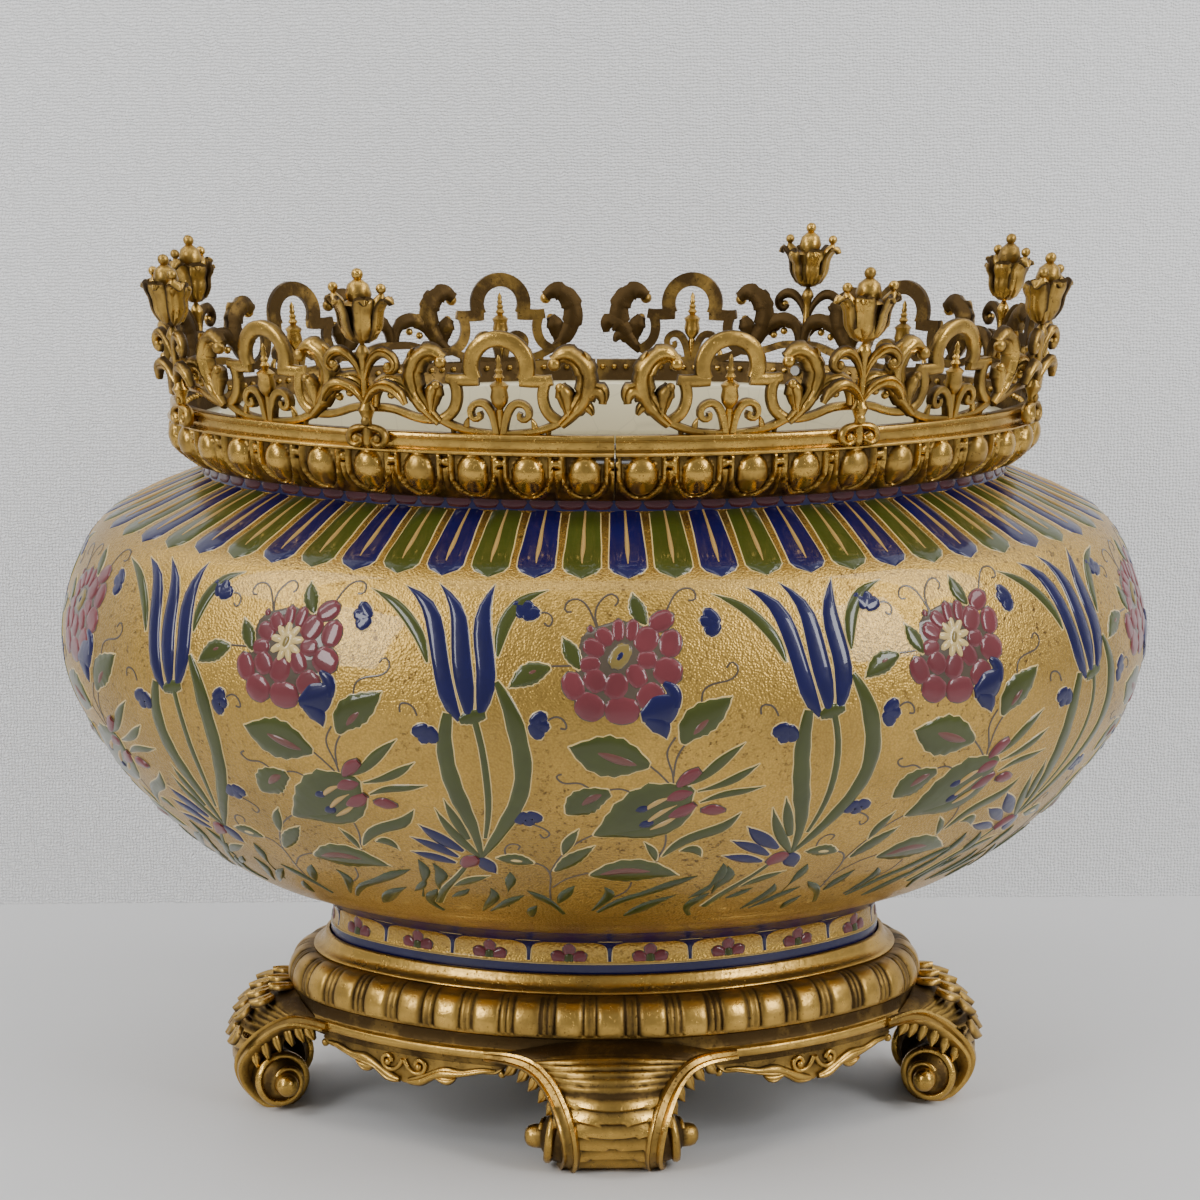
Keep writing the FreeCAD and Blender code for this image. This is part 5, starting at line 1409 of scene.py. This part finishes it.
def front_leaves(middle):
    """Rows of overlapping leaves down the front of an end foot, three and four by turns."""
    last = len(middle) - 1
    made = []
    for row, (place, size) in enumerate(((0.02, 9.5), (0.16, 9.0), (0.30, 8.0), (0.43, 7.0))):
        k = int(place * last)
        ahead = middle[min(k + 9, last)] - middle[k]
        ahead = ahead / np.linalg.norm(ahead)
        up_out = np.array((0.0, -ahead[2], ahead[1]))
        for x in (-8.5, 0, 8.5) if row % 2 == 0 else (-12.5, -4.3, 4.3, 12.5):
            root = middle[k] + np.array((x * (1.3 - 0.5 * place), 0, 0))
            half_way = root + ahead * size * 0.5 + up_out * 1.6 + (0.1 * x, 0, 0)
            line = [root, half_way, root + ahead * size + up_out * 2.6]
            made.append(swept_facing(line, np.array((2.6, 4.0, 1.2)), 1.6, LEAF, up_out, 10))
    return made


def add_foot(mould, share, leafy):
    """One scroll foot: a panel with reeds and scales between two ridged straps that sweep into the plinth's
    edge and wind up below into conical volutes with bosses, and acanthus on the straps' outer sides."""
    rows = 72
    middle = smooth_line(FOOT_MIDDLE, rows)
    strap = smooth_line(FOOT_STRAP, rows)
    hollow = smooth_line(FOOT_HOLLOW, rows)

    def lay(grid, proud):
        grid = stood(grid, share, PLINTH_EDGE)
        grid[..., 2] = np.maximum(grid[..., 2], 0.0)
        mould.tube(grid, proud)

    vein = np.clip(LEAF[:, 1] + 0.15, 0, 1)
    lay(*foot_panel(middle, strap, hollow))
    for hand in (-1, 1):
        lay(foot_strap(strap, hand), np.clip(RIDGED[:, 1], 0.15, 1))
        lay(foot_flank(strap, hollow, hand), 0.25)
        lay(volute_ridge(hand), 0.9)
        lay(volute_cone(hand), VOLUTE[:, 2:])
        for leaf in strap_leaves(strap, hand):
            lay(leaf, vein)
    if leafy:
        for leaf in front_leaves(middle):
            lay(leaf, vein)


def swept_facing(path, widths, depths, section, facing, count=None):
    """Section carried along a path in space: width across the path, depth along the way that it faces."""
    path = np.asarray(path, float)
    if count is not None:
        widths = smooth_widths(path, np.broadcast_to(widths, len(path)), count)
        path = smooth_line(path, count)
    ahead = np.gradient(path, axis=0)
    ahead = ahead / np.linalg.norm(ahead, axis=1)[:, None]
    out = np.broadcast_to(facing, path.shape)
    out = out - ahead * np.sum(ahead * out, axis=1)[:, None]
    out = out / np.linalg.norm(out, axis=1)[:, None]
    side = np.cross(ahead, out)
    grid = path[:, None] + side[:, None] * (np.asarray(widths)[:, None] * section[None, :, 0])[..., None]
    return grid + out[:, None] * (depths * section[None, :, 1])[..., None]


def tube_round(line, radii, sides):
    """Round bar along a line in space, its loops turned to the line and kept from twisting."""
    line = np.asarray(line, float)
    ahead = np.gradient(line, axis=0)
    ahead = ahead / np.linalg.norm(ahead, axis=1)[:, None]
    side = np.cross(ahead[0], (1.0, 0.0, 0.2))
    grid = []
    turn = np.arange(sides) * 2 * math.pi / sides
    for k in range(len(line)):
        side = side - ahead[k] * (side @ ahead[k])
        side = side / np.linalg.norm(side)
        other = np.cross(ahead[k], side)
        grid.append(line[k] + radii[k] * (np.cos(turn)[:, None] * side + np.sin(turn)[:, None] * other))
    return np.array(grid)


def build_feet(colours):
    """Four scroll feet under the plinth, at the front, the back and both ends."""
    bronze = bronze_finish("foot_bronze", colours.gilt, colours.patina, 1.2, 0.25)
    made = []
    for name, share in (("front", 0.0), ("right", 0.25), ("back", 0.5), ("left", 0.75)):
        mould = Mould()
        add_foot(mould, share, name in ("left", "right"))
        made.append(mould.cast("scroll_foot_" + name, bronze, "gilt_bronze", ("foot_" + name,), 50.0))
    return made


# Left half of an apron's lower edge, and the ornament on its right half: place along, drop under the plinth
APRON_EDGE = (
    (-44, 0.6), (-40, 3.4), (-34, 3.6), (-27, 4.4), (-22, 6.2), (-16, 6.0), (-10, 9.4), (-4, 10.4), (0, 11.6),
)
APRON_SCROLL = ((0.4, 1.6), (2.6, 5.0), (6.2, 6.6), (9.4, 5.0), (9.6, 1.9), (6.8, 1.0), (5.6, 3.2))
APRON_SWAG = ((2.0, 10.2), (7.0, 9.4), (13.0, 6.4), (19.0, 4.6), (26.0, 4.0), (33.0, 2.4), (40.0, 1.4))
APRON_SPRIG = ((15.0, 7.0), (19.5, 8.0), (23.5, 6.2))


def build_aprons(colours):
    """Pendant plates half-way between the feet: a pair of scrolls and leaf swags."""
    bronze = bronze_finish("apron_bronze", colours.gilt, colours.patina, 1.3, 0.27)
    edge = APRON_EDGE + tuple((-x, drop) for x, drop in APRON_EDGE[-2::-1])
    along = np.linspace(-43.6, 43.6, 90)
    drops = np.interp(along, [x for x, drop in edge], [drop for x, drop in edge])
    plate = []
    for x, drop in zip(along, drops):
        bottom = PLINTH_Z - drop
        section = ((-3.4, PLINTH_Z + 0.3), (-0.8, PLINTH_Z + 0.3), (-0.4, PLINTH_Z - 0.4 * drop))
        section = section + ((-0.1, bottom + 0.6), (-0.6, bottom), (-3.0, bottom))
        plate.append([(x, out, level) for out, level in section])
    shine = np.clip(LEAF[:, 1], 0.1, 1)
    made = []
    places = ("front_right", "back_right", "back_left", "front_left")
    for name, share in zip(places, (0.125, 0.375, 0.625, 0.875)):
        mould = Mould()
        mould.tube(stood(plate, share, FRIEZE), np.array([0, 0.3, 0.3, 0.7, 0.6, 0]))
        for hand in (-1, 1):

            def lay(path, width, deep, section, count, proud):
                points = [(hand * x, 0.2, PLINTH_Z - drop) for x, drop in path]
                mould.tube(stood(swept(points, width, deep, section, count), share, FRIEZE), proud)

            lay(APRON_SCROLL, 1.0, 1.1, ROUND, 26, 0.9)
            widths, depths = (1.2, 2.4, 2.0, 2.6, 1.6, 1.4, 0.4), (1.2, 1.6, 1.4, 1.6, 1.2, 1.0, 0.5)
            lay(APRON_SWAG, widths, depths, LEAF, 34, shine)
            lay(APRON_SPRIG, (0.8, 1.8, 0.3), 1.1, LEAF, 9, shine)
            mould.tube(stood(ball((hand * 7.2, 0.6, PLINTH_Z - 3.6), 1.5, 8, 6), share, FRIEZE), 1.0)
            mould.tube(stood(ball((hand * 42.6, -0.6, PLINTH_Z - 2.8), 1.7, 8, 6), share, FRIEZE), 0.9)
        made.append(mould.cast("apron_plate_" + name, bronze, "gilt_bronze", ("apron_" + name,), 50.0))
    return made


# Pieces that keep their solids, by finish
STEEL_NODES = (
    "clamp_bolt", "clamp_bridge", "bridge_washer", "clamp_nut", "seam_pins", "finial_screws", "foot_screws",
)
LEATHER_NODES = ("floor_washer", "seat_pad")


def build_fixings():
    """Finishes for the clamp, the screws, the seam pins and the leather seat, which keep their solids."""
    steel = steel_finish()
    leather = leather_finish()
    made = []
    for name in STEEL_NODES + LEATHER_NODES:
        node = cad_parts[name]
        node.data.materials.clear()
        node.data.materials.append(leather if name in LEATHER_NODES else steel)
        made.append(node)
    return made


# Colour of the plain background behind and around the floor
BACKGROUND = (0.42, 0.425, 0.43, 1.0)
# Share of the background in the light that falls from all round
PALE_SHARE = 0.5
# Floor and wall, in metres: half-width of both, the wall's distance behind the middle and its height
SHEET_HALF, WALL_BEHIND, WALL_HEIGHT = 2.5, 0.30, 2.6
# Area lights: name, place and aim in metres, sizes in metres, power in watts
LIGHTS = (
    ("light_left", (-1.45, -1.25, 1.0), (0, 0, 0.18), (0.5, 0.9), 17.5),
    ("light_right", (1.5, -1.15, 1.05), (0, 0, 0.18), (0.5, 0.9), 19.5),
    ("light_top", (0.0, -0.55, 1.7), (0, 0, 0.1), (1.3, 0.6), 6.0),
    ("light_wall_left", (-1.3, -0.25, 1.5), (-0.35, 0.3, 0.35), (0.5, 1.0), 10.5),
    ("light_wall_right", (1.3, -0.25, 1.5), (0.35, 0.3, 0.35), (0.5, 1.0), 10.5),
)
# Camera, as read from the rim's perspective: lens on a 36 mm sensor, place before its turn about the middle,
# turn and tilt
LENS = 102.22
CAMERA_PLACE = (-1.886, -1371.90, 452.16)
CAMERA_TURN, CAMERA_TILT = -0.0271, 0.1763


def flat_sheet(name, corners, material):
    """One four-cornered sheet of the stage, in metres."""
    mesh = bpy.data.meshes.new(name)
    mesh.from_pydata(corners, [], [(0, 1, 2, 3)])
    mesh.materials.append(material)
    sheet = bpy.data.objects.new(name, mesh)
    bpy.context.scene.collection.objects.link(sheet)
    return sheet


def stage_sheets():
    """Pale floor that fades into the background, and a linen wall that is clear from behind."""
    pale = Finish("pale_floor", Roughness=0.55)
    tone = pale.blend(pale.noise(3.0, 3.0), (0.70, 0.70, 0.705, 1.0), (0.76, 0.76, 0.76, 1.0))
    pale.paint(Base_Color=tone)
    pale.fade_out(0.5, 1.7, BACKGROUND)
    linen = Finish("linen_wall", Roughness=0.8)
    threads = {"Vector": linen.place, "Scale": 190.0, "Distortion": 6.0}
    threads.update({"Detail": 3.0, "Detail Scale": 1.5})
    weft = linen.node("TexWave", {"bands_direction": "Z"}, threads)
    warp = linen.node("TexWave", {"bands_direction": "X"}, threads)
    weave = weft * 0.5 + warp * 0.5 + linen.noise(150.0, 4.0) * 0.6
    linen.paint(Base_Color=linen.blend(weave, (0.80, 0.805, 0.81, 1.0), (0.90, 0.90, 0.905, 1.0)))
    linen.relief(weave, 0.0006)
    linen.one_sided()
    far, back, top = SHEET_HALF, WALL_BEHIND, WALL_HEIGHT
    ground = [(-far, -far, 0), (far, -far, 0), (far, far, 0), (-far, far, 0)]
    upright = [(-far, back, 0), (far, back, 0), (far, back, top), (-far, back, top)]
    floor = flat_sheet("stage_floor", ground, pale.material)
    wall = flat_sheet("stage_wall", upright, linen.material)
    return [floor, wall]


def stage_lights():
    """Soft area lights, each turned to its aim."""
    made = []
    for name, spot, aim, size, power in LIGHTS:
        data = bpy.data.lights.new(name, "AREA")
        data.shape = "RECTANGLE"
        data.size, data.size_y = size
        data.energy = power
        light = bpy.data.objects.new(name, data)
        bpy.context.scene.collection.objects.link(light)
        light.location = spot
        way = mathutils.Vector(aim) - mathutils.Vector(spot)
        light.rotation_euler = way.to_track_quat("-Z", "Y").to_euler()
        made.append(light)
    return made


def set_world():
    """Room light with a share of the plain background, which the rays that see it see whole."""
    world = bpy.data.worlds.new("room")
    world.use_nodes = True
    nodes = Nodes(world.node_tree)
    room = nodes.node("Background", None, {"Color": (0.60, 0.62, 0.65, 1.0), "Strength": 0.13})
    pale = nodes.node("Background", None, {"Color": BACKGROUND, "Strength": 1.0})
    nodes.surface("World Output", nodes.seen().largest(PALE_SHARE), room, pale)
    bpy.context.scene.world = world


def set_camera():
    """Camera of the photograph."""
    lens = bpy.data.cameras.new("camera")
    lens.lens = LENS
    lens.sensor_width = 36.0
    camera = bpy.data.objects.new("camera", lens)
    bpy.context.scene.collection.objects.link(camera)
    x, y, z = (value * MM for value in CAMERA_PLACE)
    cos, sin = math.cos(CAMERA_TURN), math.sin(CAMERA_TURN)
    camera.location = (x * cos - y * sin, x * sin + y * cos, z)
    camera.rotation_euler = (math.pi / 2 - CAMERA_TILT, 0.0, CAMERA_TURN)
    bpy.context.scene.camera = camera


def build_stage():
    """Floor, wall, lights, world and camera."""
    made = stage_sheets() + stage_lights()
    set_world()
    set_camera()
    return made


def finished(made, step):
    """Ends a step, with an error if it made nothing."""
    if not made:
        raise RuntimeError("nothing was made by the step " + step)
    return {"FINISHED"}


class JARDINIERE_OT_bowl(bpy.types.Operator):
    """Build the glazed bowl"""

    bl_idname = "jardiniere.bowl"
    bl_label = "Bowl"

    def execute(self, context):
        return finished(build_bowl(context.scene.jardiniere_colours), self.bl_label)


class JARDINIERE_OT_enamels(bpy.types.Operator):
    """Lay the painted flowers, tongues and bands on the bowl"""

    bl_idname = "jardiniere.enamels"
    bl_label = "Enamels"

    def execute(self, context):
        scene = context.scene
        return finished(build_enamels(scene.jardiniere_colours, scene.jardiniere_counts), self.bl_label)


class JARDINIERE_OT_rim(bpy.types.Operator):
    """Build both halves of the egg and dart rim"""

    bl_idname = "jardiniere.rim"
    bl_label = "Rim"

    def execute(self, context):
        scene = context.scene
        return finished(build_rim(scene.jardiniere_colours, scene.jardiniere_counts), self.bl_label)


class JARDINIERE_OT_gallery(bpy.types.Operator):
    """Build both halves of the pierced gallery"""

    bl_idname = "jardiniere.gallery"
    bl_label = "Gallery"

    def execute(self, context):
        scene = context.scene
        return finished(build_gallery(scene.jardiniere_colours, scene.jardiniere_counts), self.bl_label)


class JARDINIERE_OT_finials(bpy.types.Operator):
    """Build the seven flower finials"""

    bl_idname = "jardiniere.finials"
    bl_label = "Finials"

    def execute(self, context):
        return finished(build_finials(context.scene.jardiniere_colours), self.bl_label)


class JARDINIERE_OT_socle(bpy.types.Operator):
    """Build the collar, the gadroons and the plinth"""

    bl_idname = "jardiniere.socle"
    bl_label = "Socle"

    def execute(self, context):
        scene = context.scene
        return finished(build_socle(scene.jardiniere_colours, scene.jardiniere_counts), self.bl_label)


class JARDINIERE_OT_feet(bpy.types.Operator):
    """Build the four scroll feet"""

    bl_idname = "jardiniere.feet"
    bl_label = "Feet"

    def execute(self, context):
        return finished(build_feet(context.scene.jardiniere_colours), self.bl_label)


class JARDINIERE_OT_aprons(bpy.types.Operator):
    """Build the four pendant aprons"""

    bl_idname = "jardiniere.aprons"
    bl_label = "Aprons"

    def execute(self, context):
        return finished(build_aprons(context.scene.jardiniere_colours), self.bl_label)


class JARDINIERE_OT_fixings(bpy.types.Operator):
    """Give the clamp, screws, pins and pad their finishes"""

    bl_idname = "jardiniere.fixings"
    bl_label = "Fixings"

    def execute(self, context):
        return finished(build_fixings(), self.bl_label)


class JARDINIERE_OT_stage(bpy.types.Operator):
    """Set the floor, the wall, the lights and the camera"""

    bl_idname = "jardiniere.stage"
    bl_label = "Stage"

    def execute(self, context):
        return finished(build_stage(), self.bl_label)


OPERATORS = (
    JARDINIERE_OT_bowl, JARDINIERE_OT_enamels, JARDINIERE_OT_rim, JARDINIERE_OT_gallery,
    JARDINIERE_OT_finials, JARDINIERE_OT_socle, JARDINIERE_OT_feet, JARDINIERE_OT_aprons,
    JARDINIERE_OT_fixings, JARDINIERE_OT_stage,
)


class JARDINIERE_PT_panel(bpy.types.Panel):
    """Lists the steps that build the jardiniere."""

    bl_label = "Jardiniere"
    bl_idname = "JARDINIERE_PT_panel"
    bl_space_type = "VIEW_3D"
    bl_region_type = "UI"
    bl_category = "Jardiniere"

    def draw(self, context):
        for kind in OPERATORS:
            self.layout.operator(kind.bl_idname)
        for group in (context.scene.jardiniere_colours, context.scene.jardiniere_counts):
            for name in group.bl_rna.properties.keys():
                if name not in ("rna_type", "name"):
                    self.layout.prop(group, name)


CLASSES = (JardiniereColours, JardiniereCounts) + OPERATORS + (JARDINIERE_PT_panel,)


def register():
    for kind in CLASSES:
        bpy.utils.register_class(kind)
    bpy.types.Scene.jardiniere_colours = bpy.props.PointerProperty(type=JardiniereColours)
    bpy.types.Scene.jardiniere_counts = bpy.props.PointerProperty(type=JardiniereCounts)


def unregister():
    del bpy.types.Scene.jardiniere_colours
    del bpy.types.Scene.jardiniere_counts
    for kind in reversed(CLASSES):
        bpy.utils.unregister_class(kind)


def main():
    """Registers the add-on and runs its operators in order."""
    register()
    bpy.ops.jardiniere.bowl()
    bpy.ops.jardiniere.enamels()
    bpy.ops.jardiniere.rim()
    bpy.ops.jardiniere.gallery()
    bpy.ops.jardiniere.finials()
    bpy.ops.jardiniere.socle()
    bpy.ops.jardiniere.feet()
    bpy.ops.jardiniere.aprons()
    bpy.ops.jardiniere.fixings()
    bpy.ops.jardiniere.stage()


if __name__ == "__main__":
    main()
